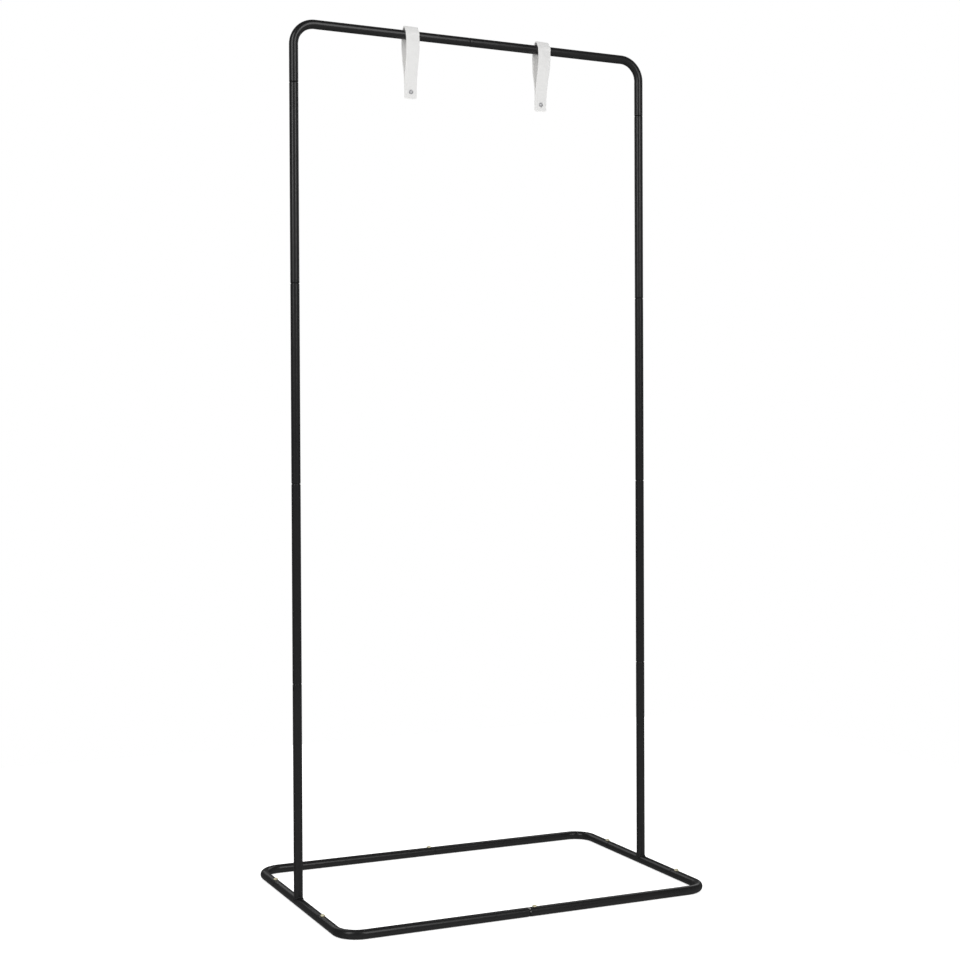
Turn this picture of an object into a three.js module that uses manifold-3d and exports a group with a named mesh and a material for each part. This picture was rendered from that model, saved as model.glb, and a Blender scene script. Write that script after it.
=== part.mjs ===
// Standing coat rack of round push-fit tube: a flat base loop with rounded corners, two
// sectional uprights, an arched rail and two leather strap loops that hang on the rail.
// Millimetres. +Z is up, +X runs along the rail, -Y is the front. The origin is on the
// floor, at the centre of the base.

import * as THREE from 'three';
import { mergeVertices } from 'three/addons/utils/BufferGeometryUtils.js';
import Module from 'manifold-3d';

const wasm = await Module();
wasm.setup();

// ---------------------------------------------------------------- driving dimensions
// Tube stock
const TUBE_DIAMETER = 19;
const TUBE_WALL = 1.2;
const BEND_RADIUS = 45; // centreline, the same tool for all six corners

// Base loop, between tube centrelines
const BASE_WIDTH = 816;
const BASE_DEPTH = 548;
const SIDE_TUBE_LENGTH = 280; // full-diameter part of a side tube
const BASE_JOINT_OFFSET = 14; // middle of the base to the joint in each long rail

// Uprights and rail
const FOOT_TOP = 459; // floor to the lowest upright joint
const UPRIGHT_PITCH = 412.5; // one upright joint to the next
const UPRIGHT_COUNT = 3; // straight tubes on each side
const CORNER_DROP = 124; // rail centreline down to the highest upright joint
const TOP_JOINT_X = -12.5; // where the two halves of the rail meet

// Swaged joints
const SPIGOT_LENGTH = 32; // reduced end beyond its shoulder
const SPIGOT_TAPER = 1.5; // length of the cone at the shoulder, which shows as a groove
const SHOULDER_LEDGE = 0.3; // step at the start of the cone
const END_BEVEL = 0.4;

// Base screws
const SCREW_DIAMETER = 5;
const SCREW_LENGTH = 12; // under the head
const SCREW_HEAD_DIAMETER = 9.5;
const SCREW_HEAD_HEIGHT = 3.6;
const RECESS_LENGTH = 4.8; // cross recess in the head
const RECESS_WIDTH = 1.2;
const RECESS_DEPTH = 1.8;
const SCREW_SETBACK = 14; // joint to screw
const COLLAR_WALL = 1.6; // drawn collar round the tapped hole
const COLLAR_DEPTH = 3.3; // below the inside of the spigot

// Weld at the foot
const WELD_RADIUS = 2.0;

// Leather loops
const STRAP_LEFT_X = -149;
const STRAP_RIGHT_X = 160;
const STRAP_THICKNESS = 3;
const STRAP_FOLD_WIDTH = 31; // at the fold over the rail
const STRAP_END_WIDTH = 26; // at the lower ends
const STRAP_RISE = 5.9; // fold above the circle on which the loop rests
const STRAP_BELLY = 1.8; // widest part beyond that circle
const STRAP_DROP = 134; // rail centreline to the lower ends
const STRAP_MEET = 98; // rail centreline to where the two leaves meet
const RIVET_FROM_END = 14;

// Screw posts that close the loops
const POST_SCREW_DIAMETER = 3.2;
const POST_WALL = 0.7;
const POST_HEAD_DIAMETER = 9.5;
const POST_HEAD_HEIGHT = 2;
const POST_SLOT_WIDTH = 1;
const POST_SLOT_DEPTH = 1;

// Clearances
const FIT = 0.3; // between pieces that touch, and round every spigot, screw and post

// Facets
const TUBE_SIDES = 16;
const BEND_STEPS = 6;
const SMALL_SIDES = 12;
const DOME_STEPS = 4;
const WELD_STEPS = 24;
const WELD_SIDES = 6;
const LOOP_STEPS = 2; // between two points of a strap's line
const MERGE_DISTANCE = 1e-4;

// ---------------------------------------------------------------- derived sizes
const TUBE_RADIUS = TUBE_DIAMETER / 2;
const BORE_RADIUS = TUBE_RADIUS - TUBE_WALL;
const SPIGOT_RADIUS = BORE_RADIUS - FIT;
const SPIGOT_BORE_RADIUS = SPIGOT_RADIUS - TUBE_WALL;
const LIP_GAP = SPIGOT_TAPER; // an outer tube's lip stops where the cone ends
const BASE_Z = TUBE_RADIUS;
const SIDE_X = BASE_WIDTH / 2;
const RAIL_Y = BASE_DEPTH / 2;
const SIDE_JOINT_Y = SIDE_TUBE_LENGTH / 2;
const TOP_JOINT_Z = FOOT_TOP + UPRIGHT_COUNT * UPRIGHT_PITCH;
const RAIL_Z = TOP_JOINT_Z + CORNER_DROP;
const SCREW_RADIUS = SCREW_DIAMETER / 2;
const SCREW_HOLE_RADIUS = SCREW_RADIUS + FIT;
const TUBE_EDGE_RADIUS = cornerRadius(TUBE_RADIUS, TUBE_SIDES); // over the facets' corners
const STRAP_REST_RADIUS = TUBE_EDGE_RADIUS + FIT + STRAP_THICKNESS / 2; // leather centreline on the rail
const LEAF_Y = (STRAP_THICKNESS + FIT) / 2; // leather centreline where the leaves meet
const LEAF_FACE_Y = LEAF_Y + STRAP_THICKNESS / 2;
const POST_SCREW_RADIUS = POST_SCREW_DIAMETER / 2;
const POST_BORE_RADIUS = POST_SCREW_RADIUS + FIT;
const POST_RADIUS = POST_BORE_RADIUS + POST_WALL;

// ---------------------------------------------------------------- materials
const finish = (color, roughness, metalness) => new THREE.MeshStandardMaterial({ color, roughness, metalness });
const blackCoat = finish(0x1c1c1d, 0.5, 0.1);
const yellowZinc = finish(0xc9bd86, 0.35, 0.9);
const whiteLeather = finish(0xe4e2dd, 0.75, 0);
const greyNickel = finish(0x9c9c9e, 0.3, 1);

// ---------------------------------------------------------------- solids
/** Corner radius of a regular polygon whose flats lie on the circle of this radius. */
function cornerRadius(radius, sides) {
  return radius / Math.cos(Math.PI / sides);
}

/** A solid that can be joined and cut, from a closed geometry. */
function toSolid(geometry) {
  const bare = geometry.clone();
  bare.deleteAttribute('normal');
  bare.deleteAttribute('uv');
  const merged = mergeVertices(bare, MERGE_DISTANCE);
  const triangles = [];
  for (let i = 0; i < merged.index.count; i += 3) {
    const corners = [0, 1, 2].map((k) => merged.index.getX(i + k));
    if (new Set(corners).size === 3) triangles.push(...corners);
  }
  return new wasm.Manifold(new wasm.Mesh({
    numProp: 3,
    vertProperties: new Float32Array(merged.attributes.position.array),
    triVerts: new Uint32Array(triangles),
  }));
}

/** The geometry of a finished solid. */
function toGeometry(solid) {
  const mesh = solid.getMesh();
  const geometry = new THREE.BufferGeometry();
  geometry.setAttribute('position', new THREE.BufferAttribute(new Float32Array(mesh.vertProperties), 3));
  geometry.setIndex(new THREE.BufferAttribute(new Uint32Array(mesh.triVerts), 1));
  geometry.computeVertexNormals();
  return geometry;
}

/** Turns a solid made along +Z so that it points along a direction, and moves it to a point. */
function place(solid, direction, point) {
  const turn = new THREE.Quaternion().setFromUnitVectors(new THREE.Vector3(0, 0, 1), direction);
  const matrix = new THREE.Matrix4().compose(point, turn, new THREE.Vector3(1, 1, 1));
  return solid.transform(matrix.toArray());
}

/** A solid of revolution about +Z. The profile is a list of [radius, height] that goes up the
 *  outside and comes down the inside or the axis; it is closed here. */
function turned(profile, sides) {
  const points = [...profile, profile[0]].map(
    ([radius, height]) => new THREE.Vector2(cornerRadius(radius, sides), height),
  );
  const geometry = new THREE.LatheGeometry(points, sides, Math.PI / sides);
  geometry.rotateX(Math.PI / 2);
  return toSolid(geometry);
}

/** A plain round bar along +Z from one height to another. */
function bar(radius, low, high, sides) {
  return turned([[0, low], [radius, low], [radius, high], [0, high]], sides);
}

/** Outline of one tube end, from the outside in, for an end that points along +Z at height 0. */
function tubeEnd(swaged) {
  if (!swaged) {
    return [
      [TUBE_RADIUS, -END_BEVEL], [TUBE_RADIUS - END_BEVEL, 0],
      [BORE_RADIUS + END_BEVEL / 2, 0], [BORE_RADIUS, -END_BEVEL / 2],
    ];
  }
  return [
    [TUBE_RADIUS, 0], [TUBE_RADIUS - SHOULDER_LEDGE, 0],
    [SPIGOT_RADIUS, SPIGOT_TAPER], [SPIGOT_RADIUS, SPIGOT_LENGTH - END_BEVEL],
    [SPIGOT_RADIUS - END_BEVEL, SPIGOT_LENGTH], [SPIGOT_BORE_RADIUS, SPIGOT_LENGTH],
    [SPIGOT_BORE_RADIUS, SPIGOT_TAPER], [BORE_RADIUS, 0],
  ];
}

/** A straight tube along +Z between two heights, with a plain or a swaged end at each. */
function straightTube(low, high, lowSwaged, highSwaged) {
  const top = tubeEnd(highSwaged).map(([radius, height]) => [radius, high + height]);
  const bottom = tubeEnd(lowSwaged).map(([radius, height]) => [radius, low - height]).reverse();
  return turned([...bottom.slice(-1), ...top, ...bottom.slice(0, -1)], TUBE_SIDES);
}

/** The swaged end of a bent tube: its tail is buried in the middle of the tube's wall. */
function spigot() {
  const tail = -SPIGOT_TAPER;
  const outer = TUBE_RADIUS - SHOULDER_LEDGE;
  const inner = BORE_RADIUS + SHOULDER_LEDGE;
  const profile = tubeEnd(true).slice(2, -1);
  return turned([[outer, tail], [outer, 0], ...profile, [inner, 0], [inner, tail]], TUBE_SIDES);
}

/** A tube's centreline: straight to a quarter bend, round it, and straight on. It has one
 *  station at each end and one for each step of the bend. */
class BentRoute extends THREE.Curve {
  constructor(start, corner, end) {
    super();
    const back = start.clone().sub(corner).normalize();
    const ahead = end.clone().sub(corner).normalize();
    const centre = corner.clone().addScaledVector(back, BEND_RADIUS).addScaledVector(ahead, BEND_RADIUS);
    const bend = Array.from({ length: BEND_STEPS + 1 }, (_, step) => {
      const angle = (step / BEND_STEPS) * (Math.PI / 2);
      const point = centre.clone()
        .addScaledVector(ahead, -BEND_RADIUS * Math.cos(angle))
        .addScaledVector(back, -BEND_RADIUS * Math.sin(angle));
      const tangent = ahead.clone().multiplyScalar(Math.sin(angle)).addScaledVector(back, -Math.cos(angle));
      return { point, tangent };
    });
    this.stations = [
      { point: start, tangent: back.clone().negate() },
      ...bend,
      { point: end, tangent: ahead },
    ];
  }

  station(share) {
    return this.stations[Math.round(share * (this.stations.length - 1))];
  }

  getPointAt(share, target = new THREE.Vector3()) {
    return target.copy(this.station(share).point);
  }

  getTangentAt(share, target = new THREE.Vector3()) {
    return target.copy(this.station(share).tangent);
  }
}

/** Points of a regular polygon whose flats lie on a circle, with flats along both axes. */
function polygon(radius, sides) {
  return Array.from({ length: sides }, (_, i) => {
    const angle = ((i + 0.5) / sides) * 2 * Math.PI;
    return new THREE.Vector2(Math.cos(angle), Math.sin(angle)).multiplyScalar(cornerRadius(radius, sides));
  });
}

/** A tube bent once between two ends. A swaged end gets its spigot beyond the end point. */
function bentTube(start, corner, end, startSwaged, endSwaged) {
  const wall = new THREE.Shape(polygon(TUBE_RADIUS, TUBE_SIDES));
  wall.holes.push(new THREE.Path(polygon(BORE_RADIUS, TUBE_SIDES)));
  const route = new BentRoute(start, corner, end);
  const swept = new THREE.ExtrudeGeometry(wall, {
    extrudePath: route, steps: route.stations.length - 1, bevelEnabled: false,
  });
  let tube = toSolid(swept);
  if (startSwaged) tube = tube.add(place(spigot(), start.clone().sub(corner).normalize(), start));
  if (endSwaged) tube = tube.add(place(spigot(), end.clone().sub(corner).normalize(), end));
  return tube;
}

// ---------------------------------------------------------------- base
/** The six base screws, and where each one stands on its joint. */
const baseScrews = [
  { name: 'front_rail_screw', x: -BASE_JOINT_OFFSET + SCREW_SETBACK, y: -RAIL_Y },
  { name: 'back_rail_screw', x: BASE_JOINT_OFFSET - SCREW_SETBACK, y: RAIL_Y },
  ...[['left', -1], ['right', 1]].flatMap(([side, sx]) => [['front', -1], ['back', 1]].map(([end, sy]) => ({
    name: `${side}_${end}_screw`, x: sx * SIDE_X, y: sy * (SIDE_JOINT_Y + SCREW_SETBACK),
  }))),
];

/** Cuts the screw holes that fall on a tube, through its upper wall only. */
function drillForScrews(tube, screws) {
  return screws.reduce((solid, { x, y }) => {
    const hole = bar(SCREW_HOLE_RADIUS, BASE_Z, BASE_Z + TUBE_DIAMETER, SMALL_SIDES);
    return solid.subtract(hole.translate([x, y, 0]));
  }, tube);
}

/** Adds the drawn collars under the tapped holes of a tube's spigots, along one direction. */
function addCollars(tube, screws, direction) {
  return screws.reduce((solid, { x, y }) => {
    const low = BASE_Z + SPIGOT_BORE_RADIUS - COLLAR_DEPTH;
    const plug = bar(SCREW_HOLE_RADIUS + COLLAR_WALL, low, BASE_Z + SPIGOT_RADIUS, SMALL_SIDES).translate([x, y, 0]);
    const reach = SPIGOT_LENGTH / 2;
    const limit = place(
      bar((SPIGOT_RADIUS + SPIGOT_BORE_RADIUS) / 2, -reach, reach, TUBE_SIDES),
      direction,
      new THREE.Vector3(x, y, BASE_Z),
    );
    return solid.add(plug.intersect(limit));
  }, tube);
}

const alongX = new THREE.Vector3(1, 0, 0);
const alongY = new THREE.Vector3(0, 1, 0);
const screwAt = (name) => baseScrews.filter((screw) => screw.name === name);

/** A base corner tube. Its side end is plain; its rail end is plain or swaged. */
function baseCorner(sx, sy, railEndX, railSwaged) {
  const corner = new THREE.Vector3(sx * SIDE_X, sy * RAIL_Y, BASE_Z);
  const railEnd = new THREE.Vector3(railEndX, sy * RAIL_Y, BASE_Z);
  const sideEnd = new THREE.Vector3(sx * SIDE_X, sy * (SIDE_JOINT_Y + LIP_GAP), BASE_Z);
  return bentTube(railEnd, corner, sideEnd, railSwaged, false);
}

/** The four corner tubes. Opposite corners are the same piece, turned half a turn. */
function baseCorners() {
  const corners = [['left', -1], ['right', 1]].flatMap(
    ([side, sx]) => [['front', -1], ['back', 1]].map(([end, sy]) => [side, end, sx, sy]),
  );
  return corners.map(([side, end, sx, sy]) => {
    const railSwaged = sx === sy;
    const railEndX = sy * BASE_JOINT_OFFSET - (railSwaged ? 0 : sy * LIP_GAP);
    const railScrew = screwAt(`${end}_rail_screw`);
    let tube = baseCorner(sx, sy, railEndX, railSwaged);
    if (railSwaged) tube = addCollars(tube, railScrew, alongX);
    tube = drillForScrews(tube, [...railScrew, ...screwAt(`${side}_${end}_screw`)]);
    return { name: `${end}_${side}_corner_tube`, solid: tube, material: blackCoat };
  });
}

/** A side tube with a swaged end each way, its collars and its screw holes. */
function sideTube(side, sx) {
  const straight = straightTube(-SIDE_JOINT_Y, SIDE_JOINT_Y, true, true);
  const screws = ['front', 'back'].flatMap((end) => screwAt(`${side}_${end}_screw`));
  const tube = place(straight, alongY, new THREE.Vector3(sx * SIDE_X, 0, BASE_Z));
  return drillForScrews(addCollars(tube, screws, alongY), screws);
}

/** A foot tube, saddle-cut to sit on a side tube. */
function footTube(sx) {
  const tube = straightTube(BASE_Z, FOOT_TOP, false, true).translate([sx * SIDE_X, 0, 0]);
  const saddle = bar(TUBE_RADIUS + FIT, -TUBE_DIAMETER, TUBE_DIAMETER, TUBE_SIDES);
  return tube.subtract(place(saddle, alongY, new THREE.Vector3(sx * SIDE_X, 0, BASE_Z)));
}

/** The line where a foot tube meets a side tube, seen from the joint's centre. */
class SaddleLine extends THREE.Curve {
  getPoint(share, target = new THREE.Vector3()) {
    const angle = share * 2 * Math.PI;
    const x = TUBE_RADIUS * Math.cos(angle);
    const y = TUBE_RADIUS * Math.sin(angle);
    return target.set(x, y, Math.sqrt(Math.max(TUBE_RADIUS ** 2 - x ** 2, 0)));
  }
}

/** The weld bead round a foot: a bead swept along the saddle line, less both tubes. */
function footWeld(sx) {
  const bead = new THREE.ExtrudeGeometry(new THREE.Shape(polygon(WELD_RADIUS, WELD_SIDES)), {
    extrudePath: new SaddleLine(), steps: WELD_STEPS, bevelEnabled: false,
  });
  const clear = TUBE_RADIUS + FIT;
  const foot = bar(clear, -clear, TUBE_DIAMETER * 2, TUBE_SIDES);
  const side = place(bar(clear, -TUBE_DIAMETER, TUBE_DIAMETER, TUBE_SIDES), alongY, new THREE.Vector3());
  const weld = toSolid(bead).subtract(foot).subtract(side);
  return weld.rotate([0, 0, sx > 0 ? 180 : 0]).translate([sx * SIDE_X, 0, BASE_Z]);
}

/** A domed head along +Z from height 0, as an outline from the rim to the axis. */
function dome(diameter, height) {
  const radius = diameter / 2;
  const rim = height / 3;
  const turns = Array.from({ length: DOME_STEPS }, (_, step) => {
    const angle = (step / DOME_STEPS) * (Math.PI / 2);
    return [radius * Math.cos(angle), rim + (height - rim) * Math.sin(angle)];
  });
  return [[radius, 0], ...turns, [0, height]];
}

/** A pan-head screw with a cross recess, its head seated just above the tube. */
function baseScrew({ x, y }) {
  const body = turned([
    [0, -SCREW_LENGTH], [SCREW_RADIUS - END_BEVEL, -SCREW_LENGTH],
    [SCREW_RADIUS, END_BEVEL - SCREW_LENGTH], [SCREW_RADIUS, 0],
    ...dome(SCREW_HEAD_DIAMETER, SCREW_HEAD_HEIGHT),
  ], SMALL_SIDES);
  const recess = [0, Math.PI / 2].map((angle) => {
    const slot = new THREE.BoxGeometry(RECESS_LENGTH, RECESS_WIDTH, 2 * RECESS_DEPTH);
    slot.translate(0, 0, SCREW_HEAD_HEIGHT);
    slot.rotateZ(angle);
    return toSolid(slot);
  });
  const screw = body.subtract(recess[0].add(recess[1]));
  return screw.translate([x, y, BASE_Z + TUBE_RADIUS + FIT]);
}

// ---------------------------------------------------------------- uprights and rail
/** The straight tubes of one upright, from the bottom up. */
function uprightTubes(side, sx) {
  return Array.from({ length: UPRIGHT_COUNT }, (_, i) => {
    const joint = FOOT_TOP + i * UPRIGHT_PITCH;
    const tube = straightTube(joint + LIP_GAP, joint + UPRIGHT_PITCH, false, true);
    return { name: `${side}_upright_tube_${i + 1}`, solid: tube.translate([sx * SIDE_X, 0, 0]), material: blackCoat };
  });
}

/** Half of the arched rail. The right half's rail end is swaged and enters the left half. */
function topTube(sx, railEndX, railSwaged) {
  const corner = new THREE.Vector3(sx * SIDE_X, 0, RAIL_Z);
  const railEnd = new THREE.Vector3(railEndX, 0, RAIL_Z);
  const legEnd = new THREE.Vector3(sx * SIDE_X, 0, TOP_JOINT_Z + LIP_GAP);
  return bentTube(railEnd, corner, legEnd, railSwaged, false);
}

// ---------------------------------------------------------------- leather loops
/** Half of a loop's centreline seen along the rail, from the fold to the lower end, as [y, z]
 *  from the rail's centre. It hugs the tube's shoulder, bellies out and closes below. */
function loopHalf() {
  const shoulder = [50, 72, 94].map((degrees) => {
    const angle = THREE.MathUtils.degToRad(degrees); // from straight up
    return [STRAP_REST_RADIUS * Math.sin(angle), STRAP_REST_RADIUS * Math.cos(angle)];
  });
  const belly = STRAP_REST_RADIUS + STRAP_BELLY;
  const below = [[1, 0.2], [0.88, 0.45], [0.45, 0.7], [0.1, 0.88], [0, 1]].map(
    ([width, depth]) => [THREE.MathUtils.lerp(LEAF_Y, belly, width), -depth * STRAP_MEET],
  );
  const leaf = [[LEAF_Y, -(STRAP_MEET + STRAP_DROP) / 2], [LEAF_Y, -STRAP_DROP]];
  return [...shoulder, ...below, ...leaf];
}

/** The band's closed outline: the centreline, set off by half the leather's thickness each way. */
function loopOutline() {
  const half = loopHalf();
  const points = [
    ...half.map(([y, z]) => [-y, z]).reverse(),
    [0, STRAP_REST_RADIUS + STRAP_RISE],
    ...half,
  ].map(([y, z]) => new THREE.Vector3(y, z, 0));
  const line = new THREE.CatmullRomCurve3(points, false, 'centripetal');
  const steps = (points.length - 1) * LOOP_STEPS;
  const side = (offset) => Array.from({ length: steps + 1 }, (_, i) => {
    const point = line.getPoint(i / steps);
    const tangent = line.getTangent(i / steps);
    return new THREE.Vector2(point.x - tangent.y * offset, point.y + tangent.x * offset);
  });
  return [...side(STRAP_THICKNESS / 2), ...side(-STRAP_THICKNESS / 2).reverse()];
}

/** A strap loop round the rail, tapering from the fold to its ends, with the post's hole. */
function strap(x) {
  const band = new THREE.ExtrudeGeometry(new THREE.Shape(loopOutline()), {
    depth: STRAP_FOLD_WIDTH, bevelEnabled: false,
  });
  band.translate(0, 0, -STRAP_FOLD_WIDTH / 2);
  band.applyMatrix4(new THREE.Matrix4().makeBasis(alongY, new THREE.Vector3(0, 0, 1), alongX));
  const top = STRAP_REST_RADIUS + STRAP_RISE;
  const position = band.attributes.position;
  for (let i = 0; i < position.count; i += 1) {
    const share = (top - position.getZ(i)) / (top + STRAP_DROP);
    const width = THREE.MathUtils.lerp(STRAP_FOLD_WIDTH, STRAP_END_WIDTH, share);
    position.setX(i, (position.getX(i) * width) / STRAP_FOLD_WIDTH);
  }
  const hole = place(
    bar(POST_RADIUS + FIT, -2 * LEAF_FACE_Y, 2 * LEAF_FACE_Y, SMALL_SIDES),
    alongY,
    new THREE.Vector3(0, 0, RIVET_FROM_END - STRAP_DROP),
  );
  return toSolid(band).subtract(hole).translate([x, 0, RAIL_Z]);
}

/** Places a fastener made along +Z at a strap's lower end, its axis through both leaves. */
function atRivet(solid, x) {
  return place(solid, alongY, new THREE.Vector3(x, 0, RAIL_Z - STRAP_DROP + RIVET_FROM_END));
}

/** The post: a domed cap in front and a hollow barrel through both leaves. */
function strapPost(x) {
  const seat = -(LEAF_FACE_Y + FIT);
  const cap = dome(POST_HEAD_DIAMETER, POST_HEAD_HEIGHT).map(([radius, height]) => [radius, seat - height]).reverse();
  return atRivet(turned([
    ...cap, [POST_RADIUS, seat], [POST_RADIUS, LEAF_FACE_Y],
    [POST_BORE_RADIUS, LEAF_FACE_Y], [POST_BORE_RADIUS, seat], [0, seat],
  ], SMALL_SIDES), x);
}

/** The screw: a slotted head at the back and a shank in the post's barrel. */
function strapScrew(x) {
  const seat = LEAF_FACE_Y + FIT;
  const tip = FIT - LEAF_FACE_Y;
  const head = dome(POST_HEAD_DIAMETER, POST_HEAD_HEIGHT).map(([radius, height]) => [radius, seat + height]);
  const body = turned([[0, tip], [POST_SCREW_RADIUS, tip], [POST_SCREW_RADIUS, seat], ...head], SMALL_SIDES);
  const slot = new THREE.BoxGeometry(2 * POST_HEAD_DIAMETER, POST_SLOT_WIDTH, 2 * POST_SLOT_DEPTH);
  slot.translate(0, 0, seat + POST_HEAD_HEIGHT);
  return atRivet(body.subtract(toSolid(slot)), x);
}

// ---------------------------------------------------------------- assembly
const sides = [['left', -1], ['right', 1]];
const straps = [['left', STRAP_LEFT_X], ['right', STRAP_RIGHT_X]];
const pieces = [
  ...baseCorners(),
  ...sides.flatMap(([side, sx]) => [
    { name: `${side}_side_tube`, solid: sideTube(side, sx), material: blackCoat },
    { name: `${side}_foot_tube`, solid: footTube(sx), material: blackCoat },
    { name: `${side}_foot_weld`, solid: footWeld(sx), material: blackCoat },
    ...uprightTubes(side, sx),
  ]),
  ...baseScrews.map((screw) => ({ name: screw.name, solid: baseScrew(screw), material: yellowZinc })),
  { name: 'left_top_tube', solid: topTube(-1, TOP_JOINT_X - LIP_GAP, false), material: blackCoat },
  { name: 'right_top_tube', solid: topTube(1, TOP_JOINT_X, true), material: blackCoat },
  ...straps.flatMap(([side, x]) => [
    { name: `${side}_strap`, solid: strap(x), material: whiteLeather },
    { name: `${side}_strap_post`, solid: strapPost(x), material: greyNickel },
    { name: `${side}_strap_screw`, solid: strapScrew(x), material: greyNickel },
  ]),
];

const rack = new THREE.Group();
pieces.forEach(({ name, solid, material }) => {
  const mesh = new THREE.Mesh(toGeometry(solid), material);
  mesh.name = name;
  rack.add(mesh);
});

export default rack;
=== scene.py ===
"""Looks for a standing coat rack: round push-fit tube, zinc-plated screws and two leather loops.

Metres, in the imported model's own frame: +Z is up, +X runs along the rail, -Y is the front and the
floor is at z = 0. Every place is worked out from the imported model's boxes.
"""

import logging
import math
from collections.abc import Mapping, Sequence
from dataclasses import dataclass, field
from enum import Enum

import bmesh
import bpy
import numpy as np
from mathutils import Matrix, Vector


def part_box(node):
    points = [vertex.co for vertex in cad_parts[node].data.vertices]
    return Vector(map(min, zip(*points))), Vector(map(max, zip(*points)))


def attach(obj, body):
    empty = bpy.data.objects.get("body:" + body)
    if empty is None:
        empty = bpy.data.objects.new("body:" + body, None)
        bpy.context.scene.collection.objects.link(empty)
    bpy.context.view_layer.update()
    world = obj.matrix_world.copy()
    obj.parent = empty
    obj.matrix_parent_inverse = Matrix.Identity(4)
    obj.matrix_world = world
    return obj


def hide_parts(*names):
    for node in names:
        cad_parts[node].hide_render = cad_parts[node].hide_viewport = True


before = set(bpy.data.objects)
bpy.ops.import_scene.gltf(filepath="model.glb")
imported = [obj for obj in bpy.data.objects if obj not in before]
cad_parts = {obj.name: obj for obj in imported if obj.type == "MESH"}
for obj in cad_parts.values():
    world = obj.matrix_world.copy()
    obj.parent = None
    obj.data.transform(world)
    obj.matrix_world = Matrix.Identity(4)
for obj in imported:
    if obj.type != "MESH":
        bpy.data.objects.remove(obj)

MM = 0.001
MERGE = 0.001 * MM
SEAM = 0.002 * MM
OVERSHOOT = 1.0 * MM
CREASE_ANGLE = 38.0
TURNED_CREASE_ANGLE = 35.0
FOLD_REACH = 16.0 * MM
FAIR_STEPS = 24
WHITE = (1.0, 1.0, 1.0)
LOG = logging.getLogger("coat_rack")


class Body(str, Enum):
    """The moving bodies of the rack."""

    FRAME = "frame"
    LEFT_LOOP = "left_loop"
    RIGHT_LOOP = "right_loop"


class Slot(str, Enum):
    """The material slots that the finishes name."""

    BLACK = "black_powder_coat"
    ZINC = "yellow_zinc"
    LEATHER = "white_leather"
    NICKEL = "grey_nickel"


class TubeEnd(Enum):
    """The three ways in which a tube is finished off."""

    PLAIN = "plain"
    SWAGED = "swaged"
    SADDLE = "saddle"


# ------------------------------------------------------------------ node arithmetic
class Wire:
    """An output socket on which arithmetic adds Math and Vector Math nodes."""

    def __init__(self, graph: "Graph", socket: bpy.types.NodeSocket) -> None:
        """Keeps the output socket and the graph that new nodes go into."""
        self.graph = graph
        self.socket = socket

    @property
    def is_vector(self) -> bool:
        """Whether the socket carries three numbers or a colour."""
        return self.socket.type in {"VECTOR", "RGBA"}

    def outs(self, *names: str) -> list["Wire"]:
        """Other outputs of the same node, by name."""
        return [Wire(self.graph, self.socket.node.outputs[name]) for name in names]

    def maths(self, operation: str, *operands: "Term") -> "Wire":
        """Adds a Math node, or a Vector Math node where an operand is a vector.

        Args:
            operation: The node's operation.
            operands: What goes into its sockets, in order.

        Returns:
            The node's result.
        """
        vector = any(isinstance(t, tuple) or (isinstance(t, Wire) and t.is_vector) for t in operands)
        kind = "ShaderNodeVectorMath" if vector else "ShaderNodeMath"
        return self.graph.add(kind, {"operation": operation}, dict(enumerate(operands)))

    def __add__(self, other: "Term") -> "Wire":
        """Self plus other."""
        return self.maths("ADD", self, other)

    def __radd__(self, other: "Term") -> "Wire":
        """Other plus self."""
        return self.maths("ADD", other, self)

    def __sub__(self, other: "Term") -> "Wire":
        """Self minus other."""
        return self.maths("SUBTRACT", self, other)

    def __rsub__(self, other: "Term") -> "Wire":
        """Other minus self."""
        return self.maths("SUBTRACT", other, self)

    def __mul__(self, other: "Term") -> "Wire":
        """Self times other, a vector scaled where one of them is a number."""
        return self.maths("MULTIPLY", self, other)

    def __rmul__(self, other: "Term") -> "Wire":
        """Other times self."""
        return self.maths("MULTIPLY", other, self)

    def __truediv__(self, other: "Term") -> "Wire":
        """Self divided by other."""
        return self.maths("DIVIDE", self, other)

    def __mod__(self, other: "Term") -> "Wire":
        """The remainder of self over other."""
        return self.maths("MODULO", self, other)

    def floor(self) -> "Wire":
        """Self rounded down."""
        return self.maths("FLOOR", self)

    def sin(self) -> "Wire":
        """The sine of self, in radians."""
        return self.maths("SINE", self)

    def cos(self) -> "Wire":
        """The cosine of self, in radians."""
        return self.maths("COSINE", self)

    def sqrt(self) -> "Wire":
        """The square root of self."""
        return self.maths("SQRT", self)

    def bell(self) -> "Wire":
        """1 where self is 0, falling away smoothly to both sides."""
        return self.maths("EXPONENT", self * self * -1.0)

    def at_least(self, low: "Term") -> "Wire":
        """Self, but not under low."""
        return self.maths("MAXIMUM", self, low)

    def at_most(self, high: "Term") -> "Wire":
        """Self, but not over high."""
        return self.maths("MINIMUM", self, high)

    def cross(self, other: "Term") -> "Wire":
        """The cross product of two vectors."""
        return self.maths("CROSS_PRODUCT", self, other)

    def unit(self) -> "Wire":
        """The vector at length one."""
        return self.maths("NORMALIZE", self)

    def ramp(self, low: float, high: float) -> "Wire":
        """0 where self is at low, 1 where it is at high, with a soft start and end."""
        inputs = {"Value": self, "From Min": low, "From Max": high}
        return self.graph.add("ShaderNodeMapRange", {"interpolation_type": "SMOOTHSTEP"}, inputs)


Term = Wire | float | int | tuple[float, ...]


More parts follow.
